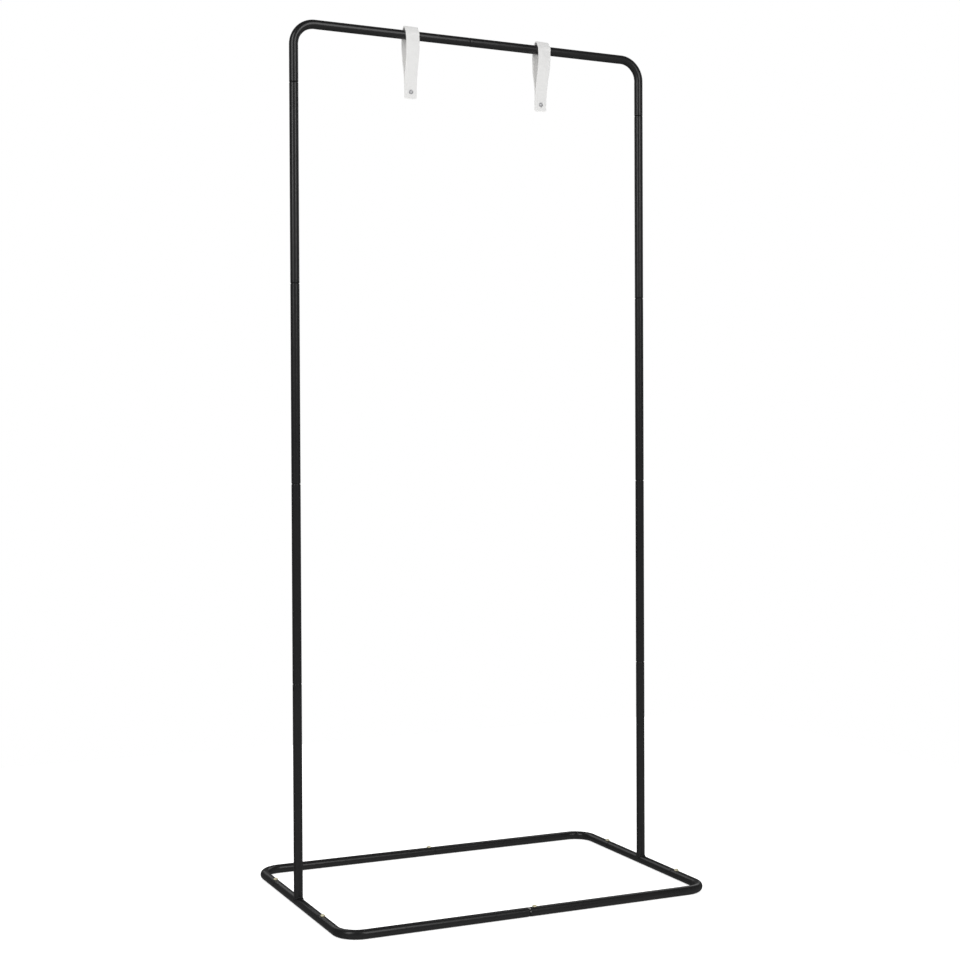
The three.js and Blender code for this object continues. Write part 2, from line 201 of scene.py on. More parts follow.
class Graph:
    """Adds nodes to one node tree and hands their sockets back as wires."""

    def __init__(self, tree: bpy.types.NodeTree) -> None:
        """Keeps the tree that the nodes go into."""
        self.tree = tree

    def add(
        self,
        kind: str,
        settings: Mapping[str, object] | None = None,
        inputs: Mapping[str | int, object] | None = None,
        output: str | int | None = None,
    ) -> Wire:
        """Adds one node of any type.

        Args:
            kind: The node's type.
            settings: Its properties, set before anything is linked. A ramp's stops are given as "stops".
            inputs: A value or a wire for each input, by name, identifier or place.
            output: Which output to hand back. The first one that is in use by default.

        Returns:
            The output's wire.
        """
        node = self.tree.nodes.new(kind)
        for name, value in (settings or {}).items():
            if name == "stops":
                self._fill_ramp(node.color_ramp, value)
            else:
                setattr(node, name, value)
        for key, value in (inputs or {}).items():
            self.feed(self._socket(node.inputs, key), value)
        if output is None:
            return Wire(self, next(s for s in node.outputs if s.enabled))
        return Wire(self, self._socket(node.outputs, output))

    @staticmethod
    def _fill_ramp(ramp: bpy.types.ColorRamp, stops: Sequence[tuple[float, tuple[float, ...]]]) -> None:
        """Puts the stops on a colour ramp.

        Args:
            ramp: The ramp.
            stops: Each stop's place from 0 to 1 and its colour.
        """
        for element, (at, _) in zip(ramp.elements, stops):
            element.position = at
        for at, _ in stops[len(ramp.elements):]:
            ramp.elements.new(at)
        for element, (_, colour) in zip(ramp.elements, stops):
            element.color = (*colour, 1.0)

    @staticmethod
    def _socket(sockets: bpy.types.NodeInputs, key: str | int) -> bpy.types.NodeSocket:
        """Finds a socket.

        Args:
            sockets: A node's inputs or outputs.
            key: The socket's place, its identifier or its name.

        Returns:
            The socket.
        """
        if isinstance(key, int):
            return sockets[key]
        return next((s for s in sockets if s.identifier == key), None) or sockets[key]

    def feed(self, socket: bpy.types.NodeSocket, value: object) -> None:
        """Links a wire into a socket, or sets the socket's own value.

        Args:
            socket: The input socket.
            value: A wire, a number, a tuple or anything else that the socket holds.
        """
        if isinstance(value, Wire):
            self.tree.links.new(value.socket, socket)
        elif socket.type == "VECTOR" and isinstance(value, (int, float)):
            socket.default_value = (value,) * 3
        elif socket.type == "RGBA" and len(value) == 3:
            socket.default_value = (*value, 1.0)
        else:
            socket.default_value = value

    def combine(self, x: Term, y: Term, z: Term) -> Wire:
        """A vector from three numbers."""
        return self.add("ShaderNodeCombineXYZ", inputs={"X": x, "Y": y, "Z": z})

    def noise(self, where: Wire, scale: float, detail: float = 2.0, roughness: float = 0.5) -> Wire:
        """A cloudy pattern from 0 to 1, with so many features a metre, finer layers and their strength."""
        inputs = {"Vector": where, "Scale": scale, "Detail": detail, "Roughness": roughness}
        return self.add("ShaderNodeTexNoise", {"noise_dimensions": "3D"}, inputs, "Fac")

    def blend(self, share: Term, first: object, second: object) -> Wire:
        """Two colours mixed: the first at 0, the second at 1."""
        inputs = {"Factor_Float": share, "A_Color": first, "B_Color": second}
        return self.add("ShaderNodeMix", {"data_type": "RGBA"}, inputs, "Result_Color")


# ------------------------------------------------------------------ finishes
@dataclass(frozen=True)
class Finish:
    """What every finish shares: a name, a slot and a Principled material."""

    name: str
    slot: Slot | None = None

    def material(self) -> bpy.types.Material:
        """The finish's material, made the first time it is asked for.

        Returns:
            The material.
        """
        found = bpy.data.materials.get(self.name)
        if found is None:
            found = bpy.data.materials.new(self.name)
            found.use_nodes = True
            self.fill(Graph(found.node_tree), found.node_tree.nodes["Principled BSDF"])
        return found

    def fill(self, graph: Graph, shader: bpy.types.ShaderNode) -> None:
        """Builds the finish's own nodes round its Principled shader."""
        raise NotImplementedError

    @staticmethod
    def connect(graph: Graph, shader: bpy.types.ShaderNode, inputs: Mapping[str, object]) -> None:
        """Sets or links the shader's sockets by name."""
        for name, value in inputs.items():
            graph.feed(shader.inputs[name], value)

    @staticmethod
    def bump(graph: Graph, layers: Sequence[tuple[Wire, float]]) -> Wire:
        """Bump from several heights, laid one over the other.

        Args:
            graph: The material's graph.
            layers: Each height from 0 to 1 and its depth in metres.

        Returns:
            The normal.
        """
        normal: Wire | None = None
        for height, depth in layers:
            inputs: dict[str, object] = {"Height": height, "Distance": depth, "Strength": 1.0}
            if normal is not None:
                inputs["Normal"] = normal
            normal = graph.add("ShaderNodeBump", inputs=inputs)
        return normal


@dataclass(frozen=True)
class PowderCoat(Finish):
    """Satin black powder coat with orange peel, rubbed through to steel on worn edges."""

    name: str = "satin_black_powder_coat"
    slot: Slot | None = Slot.BLACK
    deep: tuple[float, ...] = (0.0075, 0.0075, 0.0078)
    dusty: tuple[float, ...] = (0.0125, 0.0125, 0.0128)
    steel: tuple[float, ...] = (0.62, 0.61, 0.58)
    base_roughness: float = 0.22
    peel_per_metre: float = 600.0
    peel_depth: float = 0.008 * MM
    grain_per_metre: float = 4200.0
    grain_depth: float = 0.0025 * MM
    clouds_per_metre: float = 14.0
    cloud_tone: float = 0.7
    cloud_roughness: float = 0.08
    grain_roughness: float = 0.05
    scuffs_per_metre: float = 260.0
    scuff_stretch: tuple[float, ...] = (1.0, 1.0, 0.12)
    scuff_range: tuple[float, float] = (0.62, 0.8)
    scuff_tone: float = 0.5
    scuff_roughness: float = 0.08
    specks_per_metre: float = 900.0
    speck_share: float = 0.7
    worn_patches_per_metre: float = 85.0
    patch_shift: tuple[float, ...] = (1.2, 0.68, 0.0)
    patch_range: tuple[float, float] = (0.50, 0.60)
    patch_share: float = 0.85
    overall_share: float = 0.25
    bare_range: tuple[float, float] = (0.5, 0.85)
    bare_metallic: float = 0.4

    def fill(self, graph: Graph, shader: bpy.types.ShaderNode) -> None:
        """Builds the coat's tone, peel, dust specks and worn edges.

        Args:
            graph: The material's graph.
            shader: Its Principled shader.
        """
        where = graph.add("ShaderNodeTexCoord", output="Object")
        cloud = graph.noise(where, self.clouds_per_metre, 3.0)
        peel = graph.noise(where, self.peel_per_metre, 1.5)
        grain = graph.noise(where, self.grain_per_metre, 2.0)
        scuffs = graph.noise(where * self.scuff_stretch, self.scuffs_per_metre, 4.0, 0.65)
        scuffs = scuffs.ramp(*self.scuff_range)
        wear = graph.add("ShaderNodeAttribute", {"attribute_name": "wear"}, output="Fac")
        patches = graph.noise(where + self.patch_shift, self.worn_patches_per_metre, 1.0)
        rubbed = wear * (self.overall_share + patches.ramp(*self.patch_range) * self.patch_share)
        specks = graph.noise(where, self.specks_per_metre, 3.0) - 0.5
        bare = (rubbed + specks * self.speck_share).ramp(*self.bare_range)
        dust = (cloud * self.cloud_tone + scuffs * self.scuff_tone).at_most(1.0)
        tone = graph.blend(dust, self.deep, self.dusty)
        rough = self.base_roughness + cloud * self.cloud_roughness + grain * self.grain_roughness
        self.connect(graph, shader, {
            "Base Color": graph.blend(bare, tone, self.steel),
            "Metallic": bare * self.bare_metallic,
            "Roughness": rough + scuffs * self.scuff_roughness,
            "Normal": self.bump(graph, [(peel, self.peel_depth), (grain, self.grain_depth)]),
            "IOR": 1.5,
        })


@dataclass(frozen=True)
class YellowZinc(Finish):
    """Yellow-passivated zinc plate with its faint green and pink cast."""

    name: str = "yellow_passivated_zinc"
    slot: Slot | None = Slot.ZINC
    straw: tuple[float, ...] = (0.90, 0.84, 0.58)
    green: tuple[float, ...] = (0.78, 0.82, 0.58)
    rose: tuple[float, ...] = (0.88, 0.74, 0.60)
    dull: tuple[float, ...] = (0.70, 0.64, 0.44)
    cast_places: tuple[float, ...] = (0.3, 0.5, 0.72)
    dull_range: tuple[float, float] = (0.45, 0.75)
    dull_share: float = 0.3
    metallic: float = 0.55
    base_roughness: float = 0.40
    drift_per_metre: float = 330.0
    grain_per_metre: float = 3600.0
    grain_roughness: float = 0.16
    grain_depth: float = 0.012 * MM
    scratches_per_metre: float = 5200.0
    scratch_stretch: tuple[float, ...] = (1.0, 0.08, 1.0)
    scratch_roughness: float = 0.06
    scratch_depth: float = 0.006 * MM

    def fill(self, graph: Graph, shader: bpy.types.ShaderNode) -> None:
        """Builds the plate's shifting colour and its fine tumbled grain.

        Args:
            graph: The material's graph.
            shader: Its Principled shader.
        """
        where = graph.add("ShaderNodeTexCoord", output="Object")
        drift = graph.noise(where, self.drift_per_metre, 2.0)
        grain = graph.noise(where, self.grain_per_metre, 3.0, 0.6)
        scratch = graph.noise(where * self.scratch_stretch, self.scratches_per_metre, 2.0)
        stops = tuple(zip(self.cast_places, (self.green, self.straw, self.rose)))
        cast = graph.add("ShaderNodeValToRGB", {"stops": stops}, {"Fac": drift})
        dulled = grain.ramp(*self.dull_range) * self.dull_share
        rough = self.base_roughness + grain * self.grain_roughness
        self.connect(graph, shader, {
            "Base Color": graph.blend(dulled, cast, self.dull),
            "Metallic": self.metallic,
            "Roughness": rough + scratch * self.scratch_roughness,
            "Normal": self.bump(graph, [(grain, self.grain_depth), (scratch, self.scratch_depth)]),
        })


@dataclass(frozen=True)
class DullNickel(Finish):
    """Dull nickel plate, lightly brushed."""

    name: str = "dull_nickel_plate"
    slot: Slot | None = Slot.NICKEL
    bright: tuple[float, ...] = (0.58, 0.58, 0.59)
    dark: tuple[float, ...] = (0.38, 0.38, 0.40)
    metallic: float = 0.75
    base_roughness: float = 0.32
    brushing_per_metre: float = 6000.0
    brushing_stretch: tuple[float, ...] = (1.0, 1.0, 0.06)
    brushing_roughness: float = 0.08
    patches_per_metre: float = 420.0
    patch_range: tuple[float, float] = (0.4, 0.75)
    patch_roughness: float = 0.12
    grain_depth: float = 0.008 * MM

    def fill(self, graph: Graph, shader: bpy.types.ShaderNode) -> None:
        """Builds the plate's brushing and its slightly tarnished patches.

        Args:
            graph: The material's graph.
            shader: Its Principled shader.
        """
        where = graph.add("ShaderNodeTexCoord", output="Object")
        brushed = graph.noise(where * self.brushing_stretch, self.brushing_per_metre, 2.0)
        patches = graph.noise(where, self.patches_per_metre, 3.0)
        rough = self.base_roughness + patches * self.patch_roughness
        self.connect(graph, shader, {
            "Base Color": graph.blend(patches.ramp(*self.patch_range), self.bright, self.dark),
            "Metallic": self.metallic,
            "Roughness": rough + brushed * self.brushing_roughness,
            "Normal": self.bump(graph, [(brushed, self.grain_depth)]),
        })


@dataclass(frozen=True)
class WhiteLeather(Finish):
    """Coated white leather: a fine pebble grain outside, a napped inner side and raw cut edges."""

    name: str = "white_pebbled_leather"
    slot: Slot | None = Slot.LEATHER
    grain_side: tuple[float, ...] = (0.825, 0.823, 0.815)
    # Painted shade in the pebble hollows, darker than the tops of the grain.
    valley_shade_colour: tuple[float, ...] = (0.700, 0.696, 0.686)
    # The inner side is given a lighter colour than the outer face. This is painted light on the napped
    # flesh side, standing in for light that reaches into the loop.
    inner_side: tuple[float, ...] = (0.880, 0.876, 0.866)
    cut_edge: tuple[float, ...] = (0.900, 0.896, 0.885)
    # Painted shadow between the fibres of the nap on the inner side and of the frayed cut edge.
    fibre_shadow_tone: tuple[float, ...] = (0.82, 0.81, 0.79)
    base_roughness: float = 0.52
    inner_roughness: float = 0.3
    edge_roughness: float = 0.25
    mottle_roughness: float = 0.1
    valley_shade_share: float = 0.55
    mottle_share: float = 0.3
    mottle_range: tuple[float, float] = (0.45, 0.8)
    fibre_share: float = 0.5
    fibre_range: tuple[float, float] = (0.4, 0.7)
    flat_crease: float = 0.25
    pebbles_per_metre: float = 880.0
    pebble_softness: float = 0.35
    pebble_spread: float = 1.15
    pebble_range: tuple[float, float] = (0.1, 0.9)
    pebble_warps_per_metre: float = 500.0
    pebble_warp: float = 1.2 * MM
    creases_per_metre: float = 420.0
    nap_per_metre: float = 2600.0
    fibres_per_metre: float = 3800.0
    mottles_per_metre: float = 46.0
    pebble_depth: float = 0.09 * MM
    crease_depth: float = 0.13 * MM
    nap_depth: float = 0.07 * MM

    def fill(self, graph: Graph, shader: bpy.types.ShaderNode) -> None:
        """Builds the pebbles with painted shade in their hollows, the creases at the fold, the nap with
        painted shadow among its fibres, the inner side painted lighter, and the cut edge.

        Args:
            graph: The material's graph.
            shader: Its Principled shader.
        """
        where = graph.add("ShaderNodeUVMap", {"uv_map": "leather"})
        edge, inner, fold = (
            graph.add("ShaderNodeAttribute", {"attribute_name": name}, output="Fac")
            for name in ("cut_edge", "inner_side", "fold")
        )
        noise_inputs = {"Vector": where, "Scale": self.pebble_warps_per_metre}
        warp = graph.add("ShaderNodeTexNoise", inputs=noise_inputs, output="Color") - (0.5, 0.5, 0.5)
        warped = where + warp * (self.pebble_warp, self.pebble_warp, 0.0)
        cells = graph.add(
            "ShaderNodeTexVoronoi",
            {"feature": "SMOOTH_F1", "voronoi_dimensions": "2D"},
            {"Vector": warped, "Scale": self.pebbles_per_metre, "Smoothness": self.pebble_softness},
            "Distance",
        )
        pebble = (1.0 - cells * self.pebble_spread).ramp(*self.pebble_range)
        crease = graph.noise(where * (0.16, 1.0, 1.0), self.creases_per_metre, 3.0, 0.6)
        nap = graph.noise(where * (1.0, 0.55, 1.0), self.nap_per_metre, 4.0, 0.7)
        mottle = graph.noise(where, self.mottles_per_metre, 3.0)
        fibre = graph.noise(where * (1.0, 0.2, 1.0), self.fibres_per_metre, 3.0)
        mottled = mottle.ramp(*self.mottle_range) * self.mottle_share
        # Darker in the pebble hollows (painted shade) and in random mottled patches (the leather's own
        # tone).
        valley_shade_and_mottle = ((1.0 - pebble) * self.valley_shade_share + mottled).at_most(1.0)
        outer = graph.blend(valley_shade_and_mottle, self.grain_side, self.valley_shade_colour)
        # The inner side's colour is painted lighter, standing in for light inside the loop, and carries
        # painted shadow among its nap fibres.
        napped = graph.blend(nap * self.fibre_share, self.inner_side, self.fibre_shadow_tone)
        faces = graph.blend(inner, outer, napped)
        # Painted fibre shadow on the cut edge, spread by noise.
        frayed_fibre_shadow = fibre.ramp(*self.fibre_range) * self.fibre_share
        raw = graph.blend(frayed_fibre_shadow, self.cut_edge, self.fibre_shadow_tone)
        relief = pebble * (1.0 - inner) * (1.0 - edge)
        folds = crease * (self.flat_crease + fold * (1.0 - self.flat_crease)) * (1.0 - edge)
        rough = self.base_roughness + inner * self.inner_roughness + edge * self.edge_roughness
        self.connect(graph, shader, {
            "Base Color": graph.blend(edge, faces, raw),
            "Roughness": rough + mottle * self.mottle_roughness,
            "Specular IOR Level": 0.45,
            "Sheen Weight": 0.08,
            "Sheen Roughness": 0.5,
            "Normal": self.bump(graph, [
                (relief, self.pebble_depth),
                (folds, self.crease_depth),
                (nap * inner.at_least(edge), self.nap_depth),
            ]),
        })


@dataclass(frozen=True)
class PaleFloor(Finish):
    """Matte white studio paper."""

    name: str = "white_studio_paper"
    paper: tuple[float, ...] = (0.88, 0.88, 0.88)
    shaded_paper: tuple[float, ...] = (0.86, 0.86, 0.86)
    glow: float = 0.72
    tooth_per_metre: float = 900.0
    tooth_depth: float = 0.02 * MM

    def fill(self, graph: Graph, shader: bpy.types.ShaderNode) -> None:
        """Builds the paper's tooth and the fill light that a sweep throws back.

        Args:
            graph: The material's graph.
            shader: Its Principled shader.
        """
        where = graph.add("ShaderNodeTexCoord", output="Object")
        tooth = graph.noise(where, self.tooth_per_metre, 3.0)
        shade = graph.noise(where, 2.0, 2.0)
        self.connect(graph, shader, {
            "Base Color": graph.blend(shade * 0.2, self.paper, self.shaded_paper),
            "Roughness": 0.9,
            "Specular IOR Level": 0.1,
            "Emission Color": WHITE,
            "Emission Strength": self.glow,
            "Normal": self.bump(graph, [(tooth, self.tooth_depth)]),
        })


POWDER_COAT = PowderCoat()
YELLOW_ZINC = YellowZinc()
DULL_NICKEL = DullNickel()
WHITE_LEATHER = WhiteLeather()
PALE_FLOOR = PaleFloor()


# ------------------------------------------------------------------ geometry trees
class GeometryTree(Graph):
    """A geometry node tree with named inputs that turns a base mesh into a finished one."""

    def __init__(self, name: str) -> None:
        """Makes the tree with its geometry input and output.

        Args:
            name: The tree's name.
        """
        super().__init__(bpy.data.node_groups.new(name, "GeometryNodeTree"))
        self.identifiers: dict[str, str] = {}
        self.entry = self.tree.nodes.new("NodeGroupInput")
        self.base = self.declare("Base", "NodeSocketGeometry")
        self.tree.interface.new_socket(name="Result", in_out="OUTPUT", socket_type="NodeSocketGeometry")

    def declare(self, name: str, kind: str) -> Wire:
        """Adds a named input.

        Args:
            name: The input's name.
            kind: Its socket type.

        Returns:
            The input's wire.
        """
        socket = self.tree.interface.new_socket(name=name, in_out="INPUT", socket_type=kind)
        self.identifiers[name] = socket.identifier
        return Wire(self, self.entry.outputs[name])

    def numbers(self, *names: str) -> list[Wire]:
        """Adds several plain number inputs."""
        return [self.declare(name, "NodeSocketFloat") for name in names]

    def vectors(self, *names: str) -> list[Wire]:
        """Adds several vector inputs."""
        return [self.declare(name, "NodeSocketVector") for name in names]

    def close(self, geometry: Wire, finish: Wire) -> None:
        """Ends the tree with Realize Instances and Set Material.

        Args:
            geometry: What the tree has made.
            finish: Its material.
        """
        real = self.add("GeometryNodeRealizeInstances", inputs={"Geometry": geometry})
        dressed = self.add("GeometryNodeSetMaterial", inputs={"Geometry": real, "Material": finish})
        self.feed(self.tree.nodes.new("NodeGroupOutput").inputs["Result"], dressed)

    def weave(self, rows: Term, columns: Term) -> tuple[Wire, Wire, Wire]:
        """Adds a grid that is to be closed on itself both ways.

        Args:
            rows: How many different rows it has.
            columns: How many different columns it has.

        Returns:
            The grid, and each point's row and column.
        """
        down, across = (
            self.add("ShaderNodeMath", {"operation": "ADD"}, {0: count, 1: 1.0})
            for count in (rows, columns)
        )
        size = {"Vertices X": down, "Vertices Y": across}
        grid = self.add("GeometryNodeMeshGrid", inputs=size, output="Mesh")
        index = self.add("GeometryNodeInputIndex")
        row = ((index + 0.5) / across).floor()
        return grid, row, index - row * across

    def sew(self, grid: Wire, position: Wire) -> Wire:
        """Moves a grid's points into place and joins its seams.

        Args:
            grid: The grid from weave().
            position: Where each point goes.

        Returns:
            The closed, smooth mesh.
        """
        placed = self.add("GeometryNodeSetPosition", inputs={"Geometry": grid, "Position": position})
        joined = self.add("GeometryNodeMergeByDistance", inputs={"Geometry": placed, "Distance": SEAM})
        return self.add("GeometryNodeSetShadeSmooth", inputs={"Geometry": joined, "Shade Smooth": True})

    def store(self, geometry: Wire, name: str, value: Wire) -> Wire:
        """Keeps a number on every point under a name.

        Args:
            geometry: The mesh.
            name: The attribute's name.
            value: Its value at each point.

        Returns:
            The mesh with the attribute.
        """
        settings = {"data_type": "FLOAT", "domain": "POINT"}
        inputs = {"Geometry": geometry, "Name": name, "Value": value}
        return self.add("GeometryNodeStoreNamedAttribute", settings, inputs)

    def run(
        self,
        name: str,
        base: bpy.types.Mesh,
        finish: Finish,
        values: Mapping[str, object],
    ) -> bpy.types.Object:
        """Runs the tree on a base mesh and keeps the result as a plain mesh.

        Args:
            name: The piece's name.
            base: The mesh that goes into the tree.
            finish: The piece's finish.
            values: A value for each named input.

        Returns:
            The finished piece, with no modifier left on it.
        """
        piece = place(name, base)
        modifier = piece.modifiers.new(self.tree.name, "NODES")
        modifier.node_group = self.tree
        for key, value in {**values, "Finish": finish.material()}.items():
            modifier[self.identifiers[key]] = value
        return settle(piece)


def place(name: str, data: bpy.types.ID) -> bpy.types.Object:
    """Puts an object for a mesh, a lamp or a camera in the scene, at the origin.

    Args:
        name: The object's name.
        data: What it shows.

    Returns:
        The object.
    """
    made = bpy.data.objects.new(name, data)
    bpy.context.scene.collection.objects.link(made)
    return made


def settle(piece: bpy.types.Object) -> bpy.types.Object:
    """Turns an object's evaluated modifiers into its plain mesh.

    Args:
        piece: The object with its modifiers.

    Returns:
        The same object, its modifiers gone.
    """
    graph = bpy.context.evaluated_depsgraph_get()
    made = bpy.data.meshes.new_from_object(piece.evaluated_get(graph), depsgraph=graph)
    made.name = piece.name
    piece.modifiers.clear()
    piece.data = made
    return piece


class RoundStock(GeometryTree):
    """Turns an outline round a path: straight, then one quarter bend, then straight again.

    The base mesh is the outline. Each of its points holds a station along the path, a radius and how
    worn the surface is there. The bend is slightly oval, with faint ripples and tool marks inside it.
    """

    RIPPLES = 11.0
    TOOL_MARK = 3.2 * MM
    MARK_DEPTH = 1.6
    SADDLE_BLEND = 16.0 * MM

    def __init__(self) -> None:
        """Builds the tree."""
        super().__init__("round_stock")
        start, along, across = self.vectors("Start", "Along", "Across")
        names = ("Straight", "Bend radius", "Oval", "Ripple", "Saddle")
        straight, bend, oval, ripple, saddle = self.numbers(*names)
        sides = self.declare("Sides", "NodeSocketInt")
        finish = self.declare("Finish", "NodeSocketMaterial")
        base = {"Geometry": self.base}
        count = self.add("GeometryNodeAttributeDomainSize", {"component": "MESH"}, base, "Point Count")
        grid, row, column = self.weave(count, sides)
        turn = column * math.tau / sides
        outline = self.add(
            "GeometryNodeSampleIndex",
            {"data_type": "FLOAT_VECTOR", "domain": "POINT"},
            {**base, "Value": self.add("GeometryNodeInputPosition"), "Index": row % count + 0.25},
        )
        parts = self.add("ShaderNodeSeparateXYZ", inputs={"Vector": outline})
        station, radius, wear = parts.outs("X", "Y", "Z")
        past = station - straight
        angle = (past / bend).at_least(0.0).at_most(math.pi / 2)
        swell = (angle * 2.0).sin()
        inside = turn.cos().at_least(0.0)
        marks = (past / self.TOOL_MARK).bell() + ((past - bend * (math.pi / 2)) / self.TOOL_MARK).bell()
        radius = radius + ripple * inside * (swell * (angle * self.RIPPLES).sin() - marks * self.MARK_DEPTH)
        reach = radius * turn.cos() * (1.0 - oval * swell)
        rise = (saddle * saddle - reach * reach).at_least(0.0).sqrt()
        lift = rise * (1.0 - station / self.SADDLE_BLEND).at_least(0.0)
        ahead = station.at_most(straight) + bend * angle.sin() + lift
        aside = bend * (1.0 - angle.cos()) + (past - bend * (math.pi / 2)).at_least(0.0)
        inward = across * angle.cos() - along * angle.sin()
        position = start + along * ahead + across * aside + inward * reach
        position = position + along.cross(across) * (radius * turn.sin())
        mesh = self.sew(self.store(grid, "wear", wear), position)
        self.close(mesh, finish)


class WeldBead(GeometryTree):
    """Lays a rippled bead along the line where a foot tube meets a side tube of the same size."""

    STEPS_ALONG = 240
    STEPS_ROUND = 20
    EASE = 0.26
    RIPPLE_DEPTH = 0.09
    RIPPLE_LEAN = 1.1
    RIPPLE_DRIFT = 9.0
    CORNER_SHARE = 0.3
    FLAT_SHARE = 0.68
    UNEVENNESS = 0.24
    THINNEST = 0.88

    def __init__(self) -> None:
        """Builds the tree."""
        super().__init__("weld_bead")
        (centre,) = self.vectors("Centre")
        tube, bead, ripples, seed = self.numbers("Tube radius", "Bead radius", "Ripples", "Seed")
        finish = self.declare("Finish", "NodeSocketMaterial")
        grid, row, column = self.weave(float(self.STEPS_ALONG), float(self.STEPS_ROUND))
        along = row * (math.tau / self.STEPS_ALONG)
        turn = column * (math.tau / self.STEPS_ROUND)
        x, y = along.cos(), along.sin()
        height = (y * y + self.EASE ** 2).sqrt()
        foot = self.combine(x, y, 0.0)
        side = self.combine(x, 0.0, height).unit()
        outward = (foot + side).unit()
        sideways = self.combine(y * -1.0, x, x * y / height).unit().cross(outward)
        corner = 1.0 - foot.maths("DOT_PRODUCT", foot, side)
        drift = self.noise(self.combine(x * 2.0, y * 2.0, seed), 1.6, 2.0)
        wave = (along * ripples + turn.cos() * self.RIPPLE_LEAN + drift * self.RIPPLE_DRIFT).sin()
        size = bead * (corner * self.CORNER_SHARE + self.FLAT_SHARE) * (1.0 + wave * self.RIPPLE_DEPTH)
        size = size * (drift * self.UNEVENNESS + self.THINNEST)
        line = centre + self.combine(x, y, height) * tube
        line = line + outward * (bead * corner * self.CORNER_SHARE)
        position = line + (outward * turn.cos() + sideways * turn.sin()) * size
        self.close(self.sew(self.store(grid, "wear", 0.0), position), finish)


class FastenerRow(GeometryTree):
    """Sets the same fastener on every point of the base, each turned and tipped a little at random."""

    def __init__(self) -> None:
        """Builds the tree."""
        super().__init__("fastener_row")
        master = self.declare("Fastener", "NodeSocketObject")
        (tip,) = self.numbers("Tip")
        seed = self.declare("Seed", "NodeSocketInt")
        finish = self.declare("Finish", "NodeSocketMaterial")
        fastener = self.add("GeometryNodeObjectInfo", inputs={"Object": master}, output="Geometry")
        least, most = self.combine(tip * -1.0, tip * -1.0, 0.0), self.combine(tip, tip, math.tau)
        limits = {"Min": least, "Max": most, "Seed": seed}
        turn = self.add("FunctionNodeRandomValue", {"data_type": "FLOAT_VECTOR"}, limits)
        placed = {"Points": self.base, "Instance": fastener, "Rotation": turn}
        self.close(self.add("GeometryNodeInstanceOnPoints", inputs=placed), finish)


ROUND_STOCK = RoundStock()
WELD_BEAD = WeldBead()
FASTENER_ROW = FastenerRow()


# ------------------------------------------------------------------ mesh helpers
def points_mesh(name: str, points: Sequence[Sequence[float]]) -> bpy.types.Mesh:
    """A mesh of loose points.

    Args:
        name: The mesh's name.
        points: The points.

    Returns:
        The mesh.
    """
    mesh = bpy.data.meshes.new(name)
    mesh.from_pydata([tuple(p) for p in points], [], [])
    return mesh


def clean(piece: bpy.types.Object) -> bpy.types.Object:
    """Removes stray edges and points and turns every face outwards.

    Args:
        piece: A piece made of closed shells.

    Returns:
        The same piece.
    """
    mesh = bmesh.new()
    mesh.from_mesh(piece.data)
    bmesh.ops.delete(mesh, geom=[e for e in mesh.edges if not e.link_faces], context="EDGES")
    bmesh.ops.delete(mesh, geom=[v for v in mesh.verts if not v.link_faces], context="VERTS")
    bmesh.ops.recalc_face_normals(mesh, faces=mesh.faces)
    mesh.to_mesh(piece.data)
    mesh.free()
    return piece


def prism(
    name: str,
    outline: Sequence[tuple[float, float]],
    low: float,
    high: float,
    taper: float = 1.0,
) -> bpy.types.Object:
    """A closed upright prism, used as a cutter.

    Args:
        name: Its name.
        outline: The corners, anticlockwise seen from above.
        low: The height of its lower face.
        high: The height of its upper face.
        taper: The lower face's size as a share of the upper one's.

    Returns:
        The prism.
    """
    count = len(outline)
    lower = [(x * taper, y * taper, low) for x, y in outline]
    upper = [(x, y, high) for x, y in outline]
    caps = [tuple(reversed(range(count))), tuple(range(count, 2 * count))]
    sides = [(i, (i + 1) % count, count + (i + 1) % count, count + i) for i in range(count)]
    mesh = bpy.data.meshes.new(name)
    mesh.from_pydata(lower + upper, [], caps + sides)
    return place(name, mesh)


def circle(radius: float, sides: int = 32) -> list[tuple[float, float]]:
    """The corners of a many-sided circle."""
    turns = (math.tau * i / sides for i in range(sides))
    return [(radius * math.cos(turn), radius * math.sin(turn)) for turn in turns]


def discard(piece: bpy.types.Object) -> None:
    """Removes a scratch object."""
    bpy.data.objects.remove(piece)


def combine_solids(piece: bpy.types.Object, tool: bpy.types.Object, operation: str) -> bpy.types.Object:
    """Joins a tool to a piece, or cuts it away, and removes the tool.

    Args:
        piece: The piece.
        tool: The other closed solid.
        operation: "DIFFERENCE", "UNION" or "INTERSECT".

    Returns:
        The piece.
    """
    modifier = piece.modifiers.new(operation.lower(), "BOOLEAN")
    modifier.operation, modifier.solver, modifier.object = operation, "EXACT", tool
    settle(piece)
    discard(tool)
    return piece


def middle(node: str) -> Vector:
    """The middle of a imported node's box."""
    low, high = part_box(node)
    return (low + high) / 2


